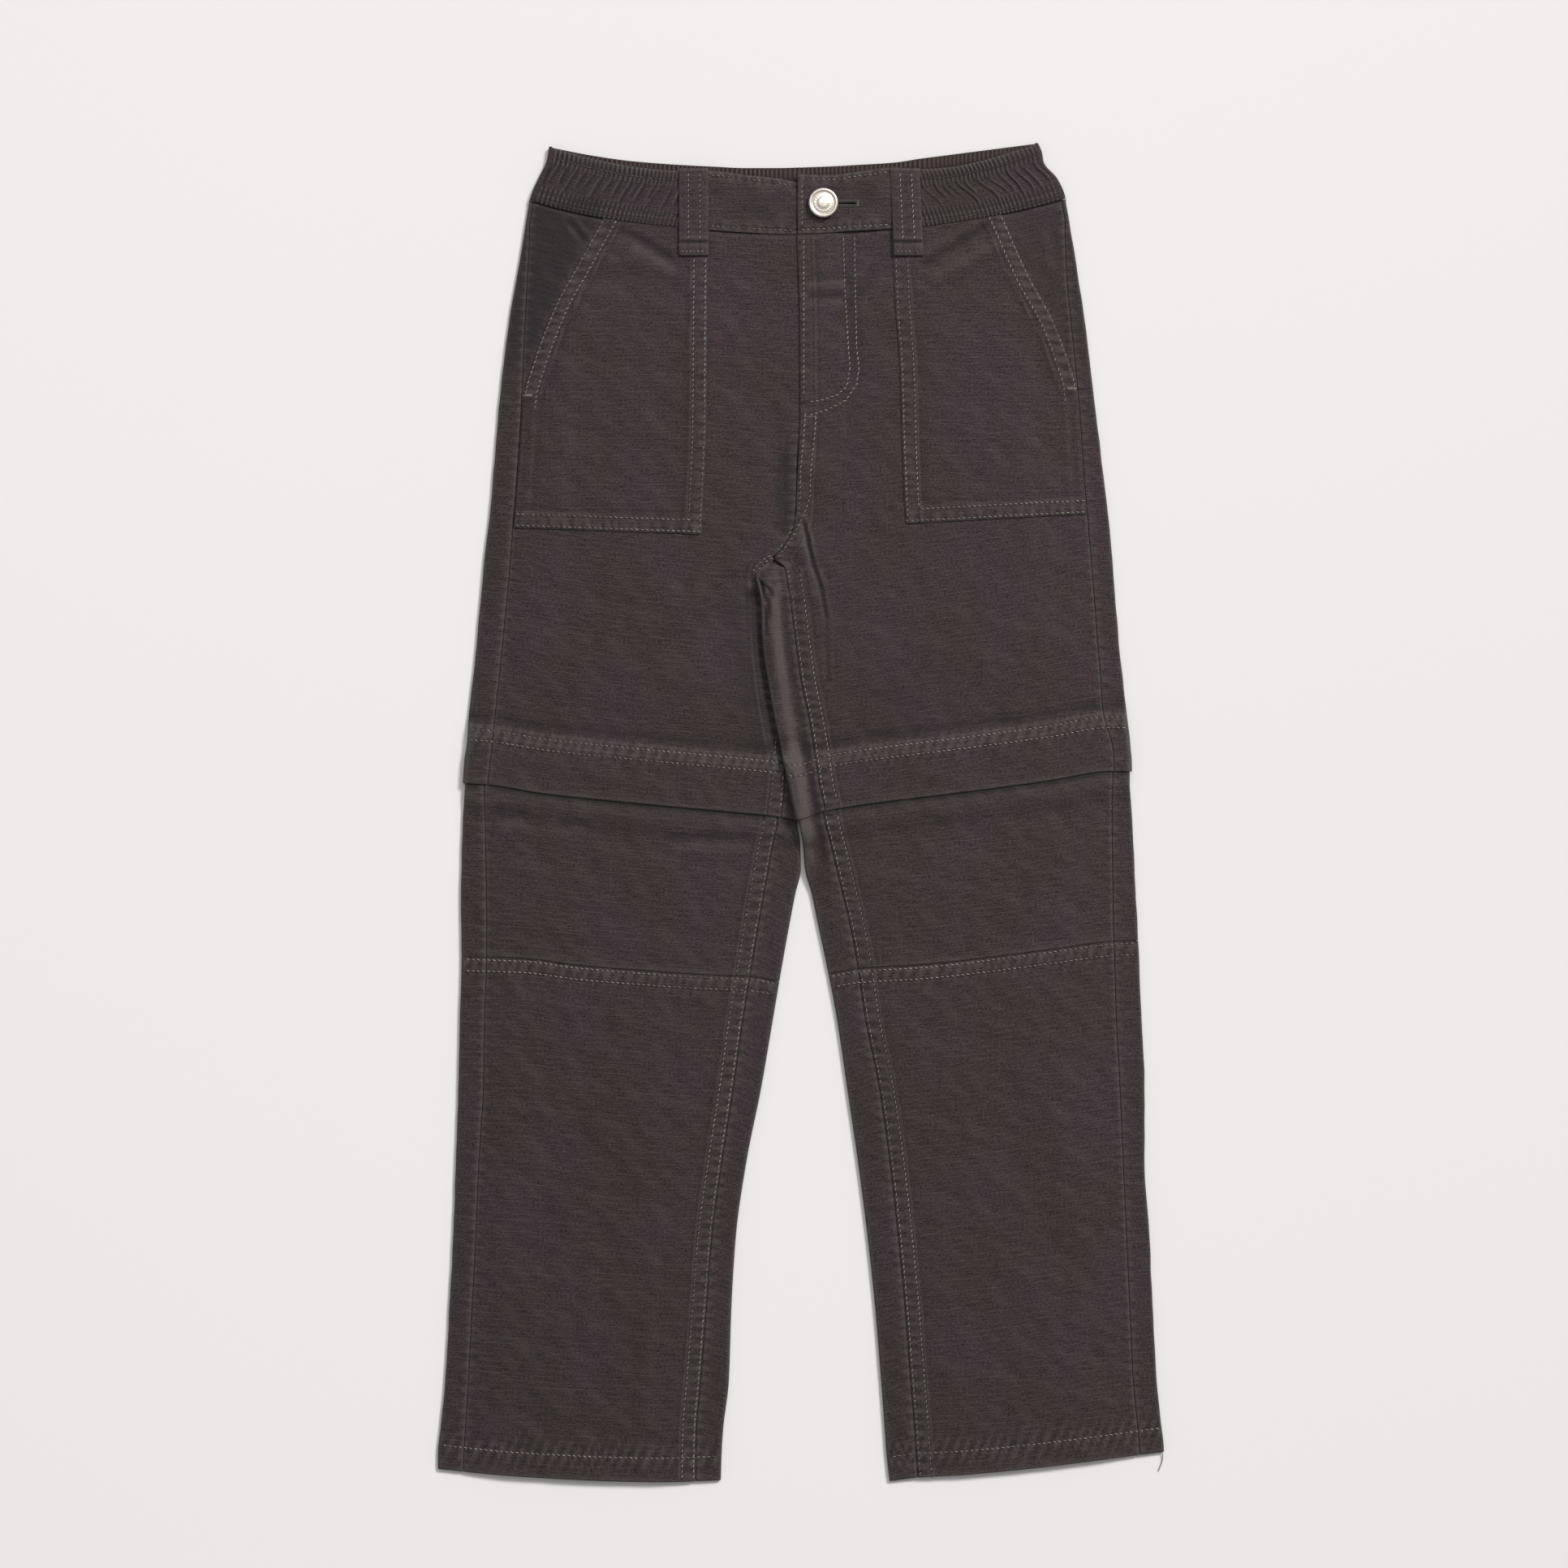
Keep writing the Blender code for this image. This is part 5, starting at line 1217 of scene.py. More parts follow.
class Thread:
    """Rows of stitches as small bent rods on the cloth, gathered into one mesh."""

    def __init__(self, surface):
        self.surface = surface
        self.rods = []
        self.rng = np.random.default_rng(8)

    def height(self, across, down):
        hit = self.surface.ray_cast((across * MM, (TOP - down) * MM, 0.03), (0, 0, -1))[0]
        return hit.z / MM if hit else 0.0

    def rod(self, across, down, heading, length, width, tone, lift=0.0):
        self.rods.append((across, down, heading, length, width, tone, lift))

    def row(self, points, tone=0.6, pitch=STITCH_PITCH, length=2.05, width=0.5, lean=0.3):
        """Stitches along a polyline given in mm, each with a low near-black rod of painted shade in the
        dimple beside it.
        """
        line = np.array(points, float)
        steps = np.hypot(*np.diff(line, axis=0).T)
        travelled = np.concatenate([[0.0], np.cumsum(steps)])
        count = int(travelled[-1] / pitch)
        at = (np.arange(count) + 0.5) * pitch + self.rng.uniform(-0.12, 0.12, count)
        across, down = np.interp(at, travelled, line[:, 0]), np.interp(at, travelled, line[:, 1])
        ahead = [np.interp(at + 1.0, travelled, line[:, i]) - np.interp(at - 1.0, travelled, line[:, i])
                 for i in (0, 1)]
        heading = np.arctan2(ahead[1], ahead[0]) + lean + self.rng.normal(0, 0.05, count)
        shade = tone + 0.17 * np.sin(at / 37.0 + points[0][0]) + self.rng.normal(0, 0.13, count)
        for i in range(count):
            size = length * self.rng.uniform(0.86, 1.08)
            way = heading[i] - lean
            # A low near-black rod between stitches: painted shade in the dimple where the thread goes in
            dimple_shade_across = across[i] + pitch / 2 * math.cos(way)
            dimple_shade_down = down[i] + pitch / 2 * math.sin(way)
            self.rod(dimple_shade_across, dimple_shade_down, way, pitch - 0.8 * length, width * 1.3, 0.0, -0.08)
            self.rod(across[i], down[i], heading[i], size, width, float(np.clip(shade[i], 0.05, 1.0)))

    def bar(self, across, down, width, height, tone=0.8, pitch=0.7):
        """A dense block of short threads, as at a bartack."""
        count = int(width / pitch)
        for i in range(count):
            at = across - width / 2 + (i + 0.5) * pitch
            lean = 0.25 if i % 2 else -0.25
            shade = float(np.clip(tone + self.rng.normal(0, 0.12), 0, 1))
            self.rod(at, down, math.pi / 2 + lean, height, 0.42, shade)

    def mesh(self, name, material, sides=4):
        rods = np.array(self.rods)
        along = np.array([-1.0, -0.66, 0.0, 0.66, 1.0])
        arch = np.array([-0.16, 0.1, 0.17, 0.1, -0.16])
        girth = np.array([0.55, 0.95, 1.0, 0.95, 0.55])
        run = along[None, :] * rods[:, 3:4] / 2
        across = rods[:, 0:1] + run * np.cos(rods[:, 2:3])
        down = rods[:, 1:2] + run * np.sin(rods[:, 2:3])
        ground = np.array([[self.height(a, d) for a, d in zip(*row)] for row in zip(across, down)])
        ground = np.minimum(ground, ground[:, 2:3] + 0.35)
        ground = np.maximum(ground, ground[:, 2:3] - 0.35)
        middle = ground + arch[None, :] + rods[:, 6:7]
        angle = 2 * math.pi * np.arange(sides) / sides
        radius = rods[:, 4][:, None, None] / 2 * girth[None, :, None]
        aside = radius * np.cos(angle)[None, None, :]
        ring_across = across[:, :, None] - aside * np.sin(rods[:, 2])[:, None, None]
        ring_down = down[:, :, None] + aside * np.cos(rods[:, 2])[:, None, None]
        ring_height = middle[:, :, None] + radius * 0.8 * np.sin(angle)[None, None, :]
        vertices = place(ring_across, ring_down, ring_height).reshape(-1, 3)
        index = np.arange(len(rods) * 5 * sides).reshape(len(rods), 5, sides)
        following = np.roll(index, -1, axis=2)
        first = np.stack([index[:, :-1], following[:, :-1], following[:, 1:]], axis=-1).reshape(-1, 3)
        second = np.stack([index[:, :-1], following[:, 1:], index[:, 1:]], axis=-1).reshape(-1, 3)
        fan = [np.stack([index[:, end, 0], index[:, end, i + order], index[:, end, i + 1 - order]], axis=-1)
               for i in range(1, sides - 1) for end, order in ((0, 1), (4, 0))]
        faces = np.concatenate([first, second] + fan)
        tone = np.repeat(rods[:, 5], 5 * sides)
        return new_mesh(name, vertices, faces, material, values={"tone": tone}, smooth_angle=0)


def along_leg(low, high, line, offset, count=60):
    """Points beside a line down a leg."""
    down = np.linspace(low, high, count)
    return [(float(line(d)) + offset, float(d)) for d in down]


def across_leg(leg, line, offset, inset=0.6):
    """Points beside a line across a leg, between its seams."""
    middle = float(line(leg.sign * 100.0)) + offset
    start = float(leg.outer(middle)) - leg.sign * (2.0 + inset)
    end = float(leg.inner(middle)) + leg.sign * 2.5
    at = np.linspace(start, end, 60)
    return [(float(a), float(line(a)) + offset) for a in at]


def sew_legs(thread, legs):
    for sign, (upper, middle, lower, flap, knee, hem) in legs.items():
        tone = 0.58
        flap_at, knee_at = float(flap(sign * 12.0)), float(knee(sign * 30.0))
        hem_at = float(hem(sign * 55.0))
        for offset in INSEAM_ROWS:
            aside = sign * offset
            if sign > 0:
                thread.row(along_leg(246.0 + 0.3 * offset, flap_at - 3.0, upper.inseam, aside), tone)
            thread.row(along_leg(flap_at + 2.0, knee_at - 1.5, middle.inseam, aside), tone)
            thread.row(along_leg(knee_at + 1.5, hem_at - 1.0, lower.inseam, aside), tone)
        for offset in FLAP_ROWS:
            thread.row(across_leg(upper, flap, offset), tone)
        for offset in KNEE_ROWS:
            thread.row(across_leg(lower, knee, offset), tone)
        thread.row(across_leg(lower, hem, -HEM_DEPTH), tone)


def sew_crotch(thread):
    """Rows that run on from the centre seam along the inner thigh, and the left inseam where it shows."""
    for row in (LEFT_INSEAM_OUTER, LEFT_INSEAM_INNER, THIGH_EDGE, THIGH_ROW):
        thread.row(row, 0.5)


def inset_line(line, downs, offset):
    return [(float(line(d)) + offset, float(d)) for d in downs]


def sew_pocket(thread, sign, outer, inner, bottom, slant_ends):
    outer_line, inner_line, bottom_line = Line(outer), Line(inner), Line(bottom)
    seam = Line(WAIST_SEAM)
    for offset in INSEAM_ROWS:
        inner_at = float(inner_line(150.0))
        start = LOOP_FOOT_DOWN + 1.6
        end = float(bottom_line(inner_at)) - offset
        thread.row(inset_line(inner_line, np.linspace(start, end, 40), sign * offset), 0.6)
        span = np.linspace(float(outer_line(215.0)) - sign * 1.0, inner_at + sign * offset, 40)
        thread.row([(float(a), float(bottom_line(a)) - offset) for a in span], 0.6)
        top_at = float(outer_line(45.0))
        downs = np.linspace(float(seam(top_at)) + 1.5, slant_ends + (1.0 if offset < 4 else 10.0), 40)
        slope = np.gradient([float(outer_line(d)) for d in downs], downs)
        normal = np.sqrt(1 + slope**2)
        slanted = [(float(outer_line(d)) - sign * offset * n, float(d)) for d, n in zip(downs, normal)]
        thread.row(slanted, 0.62)
    thread.bar(float(outer_line(slant_ends)) - sign * 3.0, slant_ends, 6.0, 1.6)


def sew_waist(thread):
    seam = Line(WAIST_SEAM)
    left_top = Line([(row.across, row.front_top) for row in WAIST_LEFT])
    right_top = Line([(row.across, row.front_top) for row in WAIST_RIGHT])
    for top_edge, start, end in ((left_top, LOOP_LEFT_AT + 9.5, OVERLAP_START - 1.0),
                                 (right_top, OVERLAP_START + 1.5, LOOP_RIGHT_AT - 9.0)):
        at = np.linspace(start, end, 40)
        thread.row([(float(a), float(top_edge(a)) + 2.6) for a in at], 0.5)
        thread.row([(float(a), float(seam(a)) - 2.6) for a in at], 0.5)
    for sign, top_edge, fold, loop_at in ((-1, left_top, SIDE_FOLD_LEFT, LOOP_LEFT_AT - 9.0),
                                          (1, right_top, SIDE_FOLD_RIGHT, LOOP_RIGHT_AT + 9.5)):
        edge = Line(fold)
        for b in BAND_ROW_AT:
            at = np.linspace(float(edge(b)) - sign * 2.5, loop_at, 50)
            elastic = [(float(a), (1 - b) * float(top_edge(a)) + b * float(seam(a))) for a in at]
            thread.row(elastic, 0.05, 2.6, 1.7)
    edge_row = [(OVERLAP_START + 2.4, float(d)) for d in np.linspace(24.0, 50.0, 30)]
    thread.row(edge_row, 0.5)
    thread.row([(1.4, float(d)) for d in np.linspace(56.0, 148.0, 40)], 0.6)
    for row in (FLY_INNER, FLY_OUTER, CENTRE_INNER, CENTRE_OUTER):
        thread.row(row, 0.64)
    thread.bar(5.0, 158.6, 7.0, 1.3, 0.35)


def sew_loops(thread):
    length = LOOP_FOOT_DOWN - LOOP_TOP_DOWN
    for middle, lean in ((LOOP_LEFT_AT, 0.0), (LOOP_RIGHT_AT, LOOP_LEAN_RIGHT)):
        for offset in LOOP_ROWS:
            downs = np.linspace(LOOP_TOP_DOWN + 2.5, LOOP_FOOT_DOWN - 7.5, 20)
            thread.row([(middle + lean * (d - LOOP_TOP_DOWN) / length - LOOP_WIDTH / 2 + offset, float(d))
                        for d in downs], 0.72)
        foot, side = LOOP_FOOT_DOWN - 2.2, LOOP_WIDTH / 2 - 1.2
        thread.row([(middle + lean - side, foot), (middle + lean + side, foot)], 0.6, 2.2, 1.6)


def sew_buttonhole(thread):
    start = BUTTON_AT.across + BUTTON_RADIUS - 3.0
    for side in (-1, 1):
        for at in np.arange(start, SLIT_END + 1.2, 0.5):
            thread.rod(float(at), BUTTON_AT.down + side * 1.35, math.pi / 2, 1.7, 0.42, 0.12)
    for at in np.arange(-1.6, 1.7, 0.45):
        thread.rod(SLIT_END + 1.3, BUTTON_AT.down + float(at), 0.0, 1.6, 0.42, 0.3)


def loose_thread(material):
    """The thread end at the right hem's outer corner."""
    path = np.array([(208.6, 756.5), (209.4, 759.0), (209.2, 762.0), (208.3, 765.0), (207.4, 767.0),
                     (206.9, 768.4)])
    steps, sides = 24, 6
    t = np.linspace(0, len(path) - 1, steps)
    across, down = np.interp(t, range(len(path)), path[:, 0]), np.interp(t, range(len(path)), path[:, 1])
    height = 0.4 + 1.6 * np.exp(-t * 1.3)
    angle = 2 * math.pi * np.arange(sides) / sides
    vertices = place(across[:, None] + 0.28 * np.cos(angle), down[:, None] * np.ones(len(angle)),
                     height[:, None] + 0.28 * np.sin(angle)).reshape(-1, 3)
    index = np.arange(steps * sides).reshape(steps, sides)
    following = np.roll(index, -1, axis=1)
    faces = np.stack([index[:-1], following[:-1], following[1:], index[1:]], axis=-1).reshape(-1, 4)
    return new_mesh("loose_thread", vertices, faces, material, values={"tone": np.full(len(vertices), 0.7)},
                    smooth_angle=0)


class Nodes:
    """Short calls for building a material's node tree."""

    def __init__(self, name):
        self.material = bpy.data.materials.new(name)
        self.material.use_nodes = True
        self.tree = self.material.node_tree
        self.shader = self.tree.nodes["Principled BSDF"]

    def add(self, kind, **settings):
        node = self.tree.nodes.new(kind)
        for key, value in settings.items():
            setattr(node, key, value)
        return node

    def link(self, source, target):
        self.tree.links.new(source, target)

    def math(self, operation, first, second=None):
        node = self.add("ShaderNodeMath", operation=operation)
        for socket, value in zip(node.inputs, (first, second)):
            if isinstance(value, (int, float)):
                socket.default_value = value
            elif value is not None:
                self.link(value, socket)
        return node.outputs[0]

    def noise(self, vector, scale, detail=2.0, roughness=0.5):
        node = self.add("ShaderNodeTexNoise")
        node.inputs["Scale"].default_value = scale
        node.inputs["Detail"].default_value = detail
        node.inputs["Roughness"].default_value = roughness
        self.link(vector, node.inputs["Vector"])
        return node.outputs["Fac"]

    def scaled(self, vector, scale):
        node = self.add("ShaderNodeVectorMath", operation="MULTIPLY")
        node.inputs[1].default_value = scale
        self.link(vector, node.inputs[0])
        return node.outputs[0]

    def spread(self, value, low, high, out_low, out_high):
        node = self.add("ShaderNodeMapRange")
        limits = {"From Min": low, "From Max": high, "To Min": out_low, "To Max": out_high}
        for key, number in limits.items():
            node.inputs[key].default_value = number
        self.link(value, node.inputs["Value"])
        return node.outputs["Result"]

    def mix(self, factor, first, second):
        node = self.add("ShaderNodeMix", data_type="RGBA")
        self.link(factor, node.inputs["Factor"])
        for socket, value in ((node.inputs[6], first), (node.inputs[7], second)):
            if isinstance(value, tuple):
                socket.default_value = (*value, 1.0)
            else:
                self.link(value, socket)
        return node.outputs[2]

    def times(self, colour, value):
        node = self.add("ShaderNodeVectorMath", operation="SCALE")
        self.link(colour, node.inputs[0])
        self.link(value, node.inputs["Scale"])
        return node.outputs[0]

    def attribute(self, name):
        return self.add("ShaderNodeAttribute", attribute_name=name).outputs["Fac"]

    def bump(self, height, distance, strength=1.0, normal=None):
        node = self.add("ShaderNodeBump")
        node.inputs["Strength"].default_value = strength
        node.inputs["Distance"].default_value = distance
        self.link(height, node.inputs["Height"])
        if normal:
            self.link(normal, node.inputs["Normal"])
        return node.outputs["Normal"]


# Cloth colours
PLUM = (0.0440, 0.0275, 0.0330)
OLIVE = (0.0395, 0.0272, 0.0255)
# Painted shade for the shaded places
SHADE = (0.0125, 0.0120, 0.0120)
RIB = (0.135, 0.112, 0.108)
LINING = (0.050, 0.027, 0.023)
# Painted shade in hollows and painted highlight on ridges
HOLLOW_SHADE = (0.007, 0.0055, 0.006)
RIDGE_HIGHLIGHT = (0.105, 0.092, 0.085)
# Worn edges, and painted highlight on crests
WORN_AND_HIGHLIGHT = (0.155, 0.142, 0.128)


def cloth_material():
    """Dark brown-charcoal cotton with light uneven ribs across the grain, worn along its edges, with painted
    shade in creases and hollows and painted highlights on ridges and crests.
    """
    nodes = Nodes("ripstop_cotton")
    uv = nodes.add("ShaderNodeUVMap", uv_map="weave").outputs["UV"]
    parts = nodes.add("ShaderNodeSeparateXYZ")
    nodes.link(uv, parts.inputs[0])
    wobble = nodes.noise(nodes.scaled(uv, (0.02, 0.02, 0.0)), 1.0)
    down = nodes.math("ADD", parts.outputs["Y"], nodes.math("MULTIPLY", wobble, 1.5))
    strong = nodes.math("SINE", nodes.math("MULTIPLY", down, 2 * math.pi / 3.35))
    weak = nodes.math("SINE", nodes.math("MULTIPLY", down, 2 * math.pi / 1.675))
    streak = nodes.noise(nodes.scaled(uv, (0.055, 0.33, 0.0)), 1.0, 3.0, 0.62)
    grain = nodes.noise(nodes.scaled(uv, (0.75, 1.2, 0.0)), 1.0, 3.0, 0.75)
    dash = nodes.noise(nodes.scaled(uv, (0.12, 1.05, 0.0)), 1.0, 2.0, 0.6)
    line = nodes.spread(strong, 0.55, 1.0, 0.0, 1.0)
    thin = nodes.spread(weak, 0.6, 1.0, 0.0, 0.35)
    rib = nodes.math("ADD", line, thin)
    seen = nodes.math("MULTIPLY", rib, nodes.spread(streak, 0.40, 0.66, 0.1, 1.0))
    where = nodes.add("ShaderNodeTexCoord").outputs["Object"]
    place_parts = nodes.add("ShaderNodeSeparateXYZ")
    nodes.link(where, place_parts.inputs[0])
    patch = nodes.noise(nodes.scaled(where, (24.0, 15.0, 24.0)), 1.0, 3.0, 0.5)
    tint = nodes.math("ADD", patch, nodes.spread(place_parts.outputs["Y"], 0.38, -0.38, -0.02, 0.04))
    ground = nodes.mix(nodes.spread(tint, 0.40, 0.60, 0.0, 1.0), PLUM, OLIVE)
    speckle = nodes.spread(grain, 0.3, 0.7, -0.1, 2.0)
    fleck = nodes.math("ADD", speckle, nodes.spread(dash, 0.3, 0.7, -0.35, 0.35))
    # Darker towards the bottom and the left
    darker_low_and_left = nodes.math("MULTIPLY", nodes.spread(place_parts.outputs["Y"], 0.38, -0.38, 1.0, 0.82),
                       nodes.spread(place_parts.outputs["X"], -0.2, 0.2, 0.9, 1.06))
    ground = nodes.times(ground, nodes.math("MULTIPLY", fleck, darker_low_and_left))
    colour = nodes.mix(nodes.math("MULTIPLY", seen, 0.11), ground, RIB)
    colour = nodes.mix(nodes.math("MULTIPLY", nodes.attribute("warm"), 0.6), colour, LINING)
    # Painted shade where the shaded attribute is set
    colour = nodes.mix(nodes.math("MULTIPLY", nodes.attribute("shaded"), 0.75), colour, SHADE)
    # Painted shade, near-black in the hollows, and a painted highlight on the ridges
    hollow = nodes.spread(nodes.attribute("relief"), -1.0, 0.0, 0.85, 0.0)
    colour = nodes.mix(hollow, colour, HOLLOW_SHADE)
    ridge = nodes.spread(nodes.attribute("relief"), 0.0, 1.0, 0.0, 0.55)
    colour = nodes.mix(ridge, colour, RIDGE_HIGHLIGHT)
    # Wear along edges, and a painted highlight on the crests of puckers and gathers
    worn = nodes.math("MULTIPLY", nodes.attribute("wear"), nodes.spread(grain, 0.35, 0.65, 0.35, 1.0))
    colour = nodes.mix(nodes.math("MULTIPLY", worn, 0.3), colour, WORN_AND_HIGHLIGHT)
    nodes.link(colour, nodes.shader.inputs["Base Color"])
    nodes.link(nodes.spread(grain, 0.3, 0.7, 0.78, 0.96), nodes.shader.inputs["Roughness"])
    nodes.shader.inputs["Specular IOR Level"].default_value = 0.28
    nodes.shader.inputs["Sheen Weight"].default_value = 0.12
    nodes.shader.inputs["Sheen Roughness"].default_value = 0.5
    fine = nodes.math("ADD", rib, nodes.math("MULTIPLY", grain, 1.4))
    nodes.link(nodes.bump(fine, 0.00012, 0.8), nodes.shader.inputs["Normal"])
    return nodes.material


def thread_material():
    """Beige-grey sewing thread whose stitches differ in tone."""
    nodes = Nodes("sewing_thread")
    where = nodes.add("ShaderNodeTexCoord").outputs["Object"]
    twist = nodes.noise(nodes.scaled(where, (2600.0, 2600.0, 2600.0)), 1.0, 1.0)
    # Tone 0 gives near-black, the painted shade of the dimples between stitches
    colour = nodes.mix(nodes.attribute("tone"), (0.013, 0.010, 0.010), (0.41, 0.37, 0.335))
    colour = nodes.mix(nodes.spread(twist, 0.3, 0.7, 0.0, 0.3), colour, (0.16, 0.14, 0.12))
    nodes.link(colour, nodes.shader.inputs["Base Color"])
    nodes.shader.inputs["Roughness"].default_value = 0.7
    nodes.link(nodes.bump(twist, 0.00005, 0.6), nodes.shader.inputs["Normal"])
    return nodes.material


def metal_material():
    """Worn silver-cream metal with patches of a darker, warmer tone."""
    nodes = Nodes("worn_metal")
    where = nodes.add("ShaderNodeTexCoord").outputs["Object"]
    spots = nodes.noise(nodes.scaled(where, (700.0, 700.0, 700.0)), 1.0, 4.0, 0.6)
    colour = nodes.mix(nodes.spread(spots, 0.35, 0.68, 0.0, 1.0), (0.86, 0.82, 0.74), (0.66, 0.57, 0.50))
    nodes.link(colour, nodes.shader.inputs["Base Color"])
    nodes.shader.inputs["Metallic"].default_value = 0.85
    nodes.link(nodes.spread(spots, 0.3, 0.7, 0.28, 0.5), nodes.shader.inputs["Roughness"])
    nodes.link(nodes.bump(spots, 0.00006, 0.5), nodes.shader.inputs["Normal"])
    return nodes.material


def floor_material():
    """Plain pale surface."""
    nodes = Nodes("pale_surface")
    where = nodes.add("ShaderNodeTexCoord").outputs["Object"]
    cloud = nodes.noise(nodes.scaled(where, (1.3, 1.3, 1.3)), 1.0, 1.0)
    colour = nodes.mix(cloud, (0.80, 0.785, 0.785), (0.82, 0.805, 0.80))
    nodes.link(colour, nodes.shader.inputs["Base Color"])
    nodes.shader.inputs["Roughness"].default_value = 0.9
    nodes.shader.inputs["Specular IOR Level"].default_value = 0.1
    return nodes.material


def make_floor():
    half, under = 3.0, -0.0002
    mesh = bpy.data.meshes.new("pale_floor")
    corners = [(-half, -half, under), (half, -half, under), (half, half, under), (-half, half, under)]
    mesh.from_pydata(corners, [], [(0, 1, 2, 3)])
    mesh.materials.append(floor_material())
    floor = bpy.data.objects.new("pale_floor", mesh)
    bpy.context.scene.collection.objects.link(floor)


def area_light(name, at, size, power, colour):
    data = bpy.data.lights.new(name, "AREA")
    data.shape = "DISK"
    data.size = size
    data.energy = power
    data.color = colour
    made = bpy.data.objects.new(name, data)
    made.location = at
    made.rotation_euler = (-Vector(at)).to_track_quat("-Z", "Y").to_euler()
    bpy.context.scene.collection.objects.link(made)


def light_the_set():
    sun = bpy.data.lights.new("soft_sun", "SUN")
    sun.energy = 2.7
    sun.angle = math.radians(14.0)
    sun.color = (1.0, 0.985, 0.975)
    lamp = bpy.data.objects.new("soft_sun", sun)
    lamp.rotation_euler = Vector((-0.72, -0.78, -0.85)).to_track_quat("-Z", "Y").to_euler()
    bpy.context.scene.collection.objects.link(lamp)
    area_light("top_fill", (0.1, 1.2, 2.2), 1.6, 13.0, (1.0, 0.985, 0.985))
    world = bpy.data.worlds.new("pale_room")
    world.use_nodes = True
    background = world.node_tree.nodes["Background"]
    background.inputs["Color"].default_value = (1.0, 0.985, 0.985, 1.0)
    background.inputs["Strength"].default_value = 0.36
    bpy.context.scene.world = world


def set_camera():
    data = bpy.data.cameras.new("photo_camera")
    data.lens = LENS
    data.sensor_width = SENSOR
    data.clip_end = 20.0
    camera = bpy.data.objects.new("photo_camera", data)
    distance = PHOTO_WIDTH * LENS / SENSOR
    camera.location = (PHOTO_MIDDLE.across * MM, (TOP - PHOTO_MIDDLE.down) * MM, distance * MM)
    bpy.context.scene.collection.objects.link(camera)
    bpy.context.scene.camera = camera
    bpy.context.scene.view_settings.view_transform = "Standard"


def dress_leg(side_name, sign, upper, lower, flap, knee, hem, cloth):
    """The six panels of one leg; gives its tubes and lines for the sewing."""
    half = SEAM_GAP / 2
    flap_line, knee_line, hem_line = Line(flap), Line(knee), Line(hem)
    upper_leg = Leg(sign, upper, shifted(WAIST_SEAM, half), flap_line, flap_line)
    middle_leg = Leg(sign, lower, shifted(flap, -HIDDEN_LEG), shifted(knee, -half), flap_line, True)
    lower_leg = Leg(sign, lower, shifted(knee, half), hem_line, None)
    reach = (lambda down: FLY_UNDERLAP * (1 - ease(down, *FLY_ENDS))) if sign < 0 else None
    raised = fly_raise if sign > 0 else None
    made = {}
    for part, leg in (("upper", upper_leg), ("middle", middle_leg), ("lower", lower_leg)):
        shares = row_shares(PART_LENGTH[part], part)
        front_name, back_name = f"front_{part}_{side_name}", f"back_{part}_{side_name}"
        if part == "upper":
            made[front_name] = front(front_name + "_cloth", leg, shares, part, cloth, reach, raised)
        else:
            made[front_name] = front(front_name + "_cloth", leg, shares, part, cloth)
        slant = WRAP_SLANT_LEFT if sign < 0 else WRAP_SLANT_RIGHT
        made[back_name] = back(back_name + "_cloth", leg, shares, part, cloth, slant)
    return made, (upper_leg, middle_leg, lower_leg, flap_line, knee_line, hem_line)


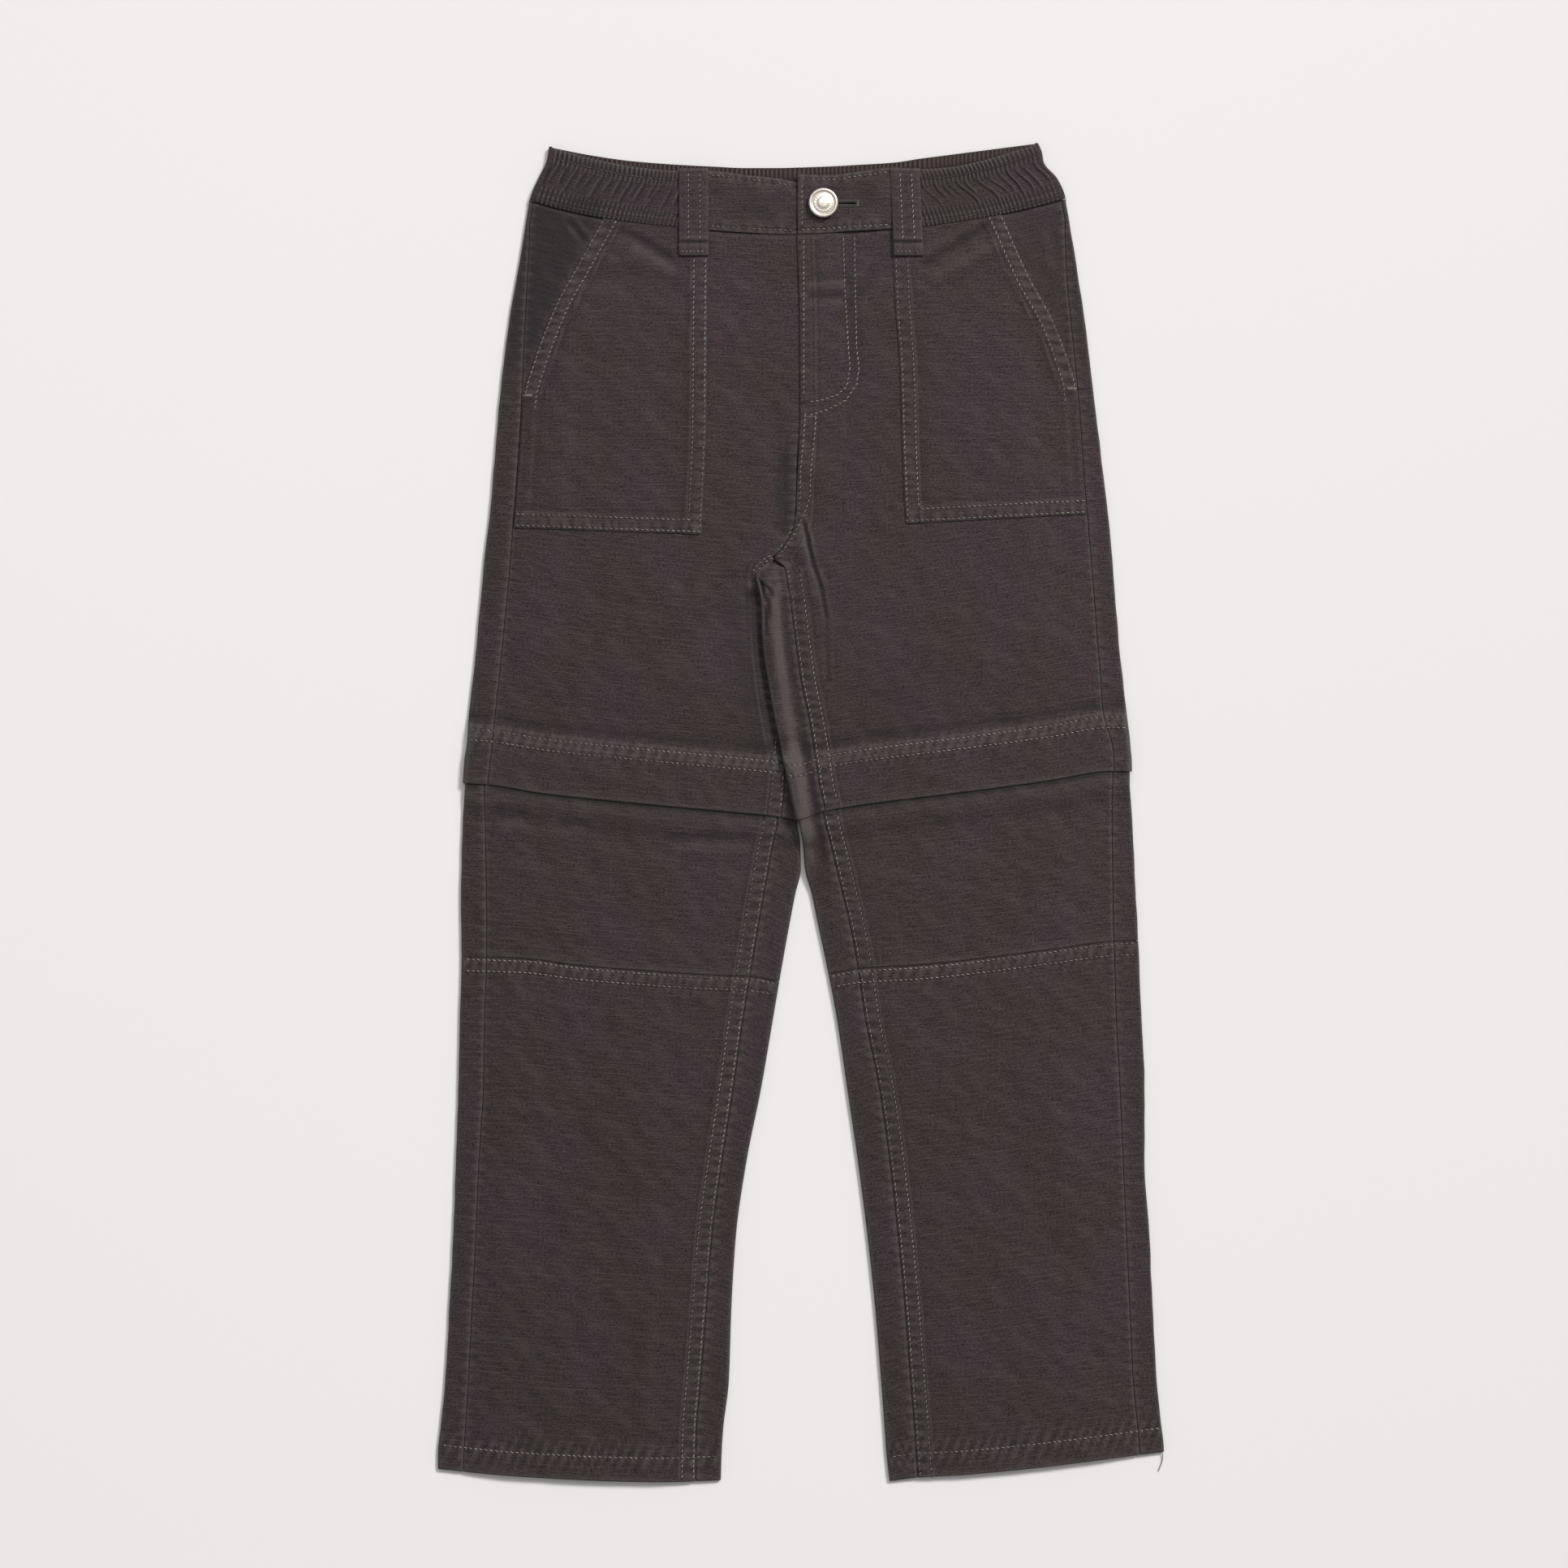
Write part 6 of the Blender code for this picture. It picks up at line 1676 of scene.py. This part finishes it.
def main():
    cloth = cloth_material()
    sewing = thread_material()
    legs, pieces = {}, {}
    sides = (("left", -1, (UPPER_LEFT, LOWER_LEFT, FLAP_LEFT, KNEE_LEFT, HEM_LEFT)),
             ("right", 1, (UPPER_RIGHT, LOWER_RIGHT, FLAP_RIGHT, KNEE_RIGHT, HEM_RIGHT)))
    for side_name, sign, tables in sides:
        made, legs[sign] = dress_leg(side_name, sign, *tables, cloth)
        pieces.update(made)
    pieces["pocket_left"] = pocket("pocket_left_cloth", legs[-1][0], POCKET_LEFT_OUTER, POCKET_LEFT_INNER,
                                   POCKET_LEFT_BOTTOM, SLANT_ENDS_LEFT, cloth)
    pieces["pocket_right"] = pocket("pocket_right_cloth", legs[1][0], POCKET_RIGHT_OUTER, POCKET_RIGHT_INNER,
                                    POCKET_RIGHT_BOTTOM, SLANT_ENDS_RIGHT, cloth)
    pieces["waistband_left"] = plain_band(
        "waistband_left_cloth", WAIST_LEFT, LOOP_LEFT_AT + 0.2, UNDERLAP_END, LEFT_BAND_TOP, cloth)
    pieces["waistband_right"] = plain_band(
        "waistband_right_cloth", WAIST_RIGHT, OVERLAP_START, LOOP_RIGHT_AT - 0.2, RIGHT_BAND_TOP, cloth)
    cut_buttonhole(pieces["waistband_right"], cloth)
    pieces["waistband_gathered"] = gathered_band("waistband_gathered_cloth", cloth)
    pieces["belt_loop_left"] = belt_loop("belt_loop_left_cloth", LOOP_LEFT_AT, 0.0, cloth)
    pieces["belt_loop_right"] = belt_loop("belt_loop_right_cloth", LOOP_RIGHT_AT, LOOP_LEAN_RIGHT, cloth)
    for node, piece in pieces.items():
        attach(piece, "root")
        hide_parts(node)
    button = shank_button(metal_material())
    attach(button, "root")
    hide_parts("button")
    thread = Thread(top_surface(pieces.values()))
    sew_legs(thread, legs)
    sew_crotch(thread)
    sew_pocket(thread, -1, POCKET_LEFT_OUTER, POCKET_LEFT_INNER, POCKET_LEFT_BOTTOM, SLANT_ENDS_LEFT)
    sew_pocket(thread, 1, POCKET_RIGHT_OUTER, POCKET_RIGHT_INNER, POCKET_RIGHT_BOTTOM, SLANT_ENDS_RIGHT)
    sew_waist(thread)
    sew_loops(thread)
    sew_buttonhole(thread)
    for made in (thread.mesh("stitching", sewing), loose_thread(sewing)):
        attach(made, "root")
    make_floor()
    light_the_set()
    set_camera()


def top_surface(pieces):
    """One tree of all the cloth, for finding what lies on top."""
    vertices, faces = [], []
    for piece in pieces:
        start = len(vertices)
        vertices.extend(vertex.co.copy() for vertex in piece.data.vertices)
        faces.extend([start + corner for corner in face.vertices] for face in piece.data.polygons)
    return BVHTree.FromPolygons(vertices, faces)


main()
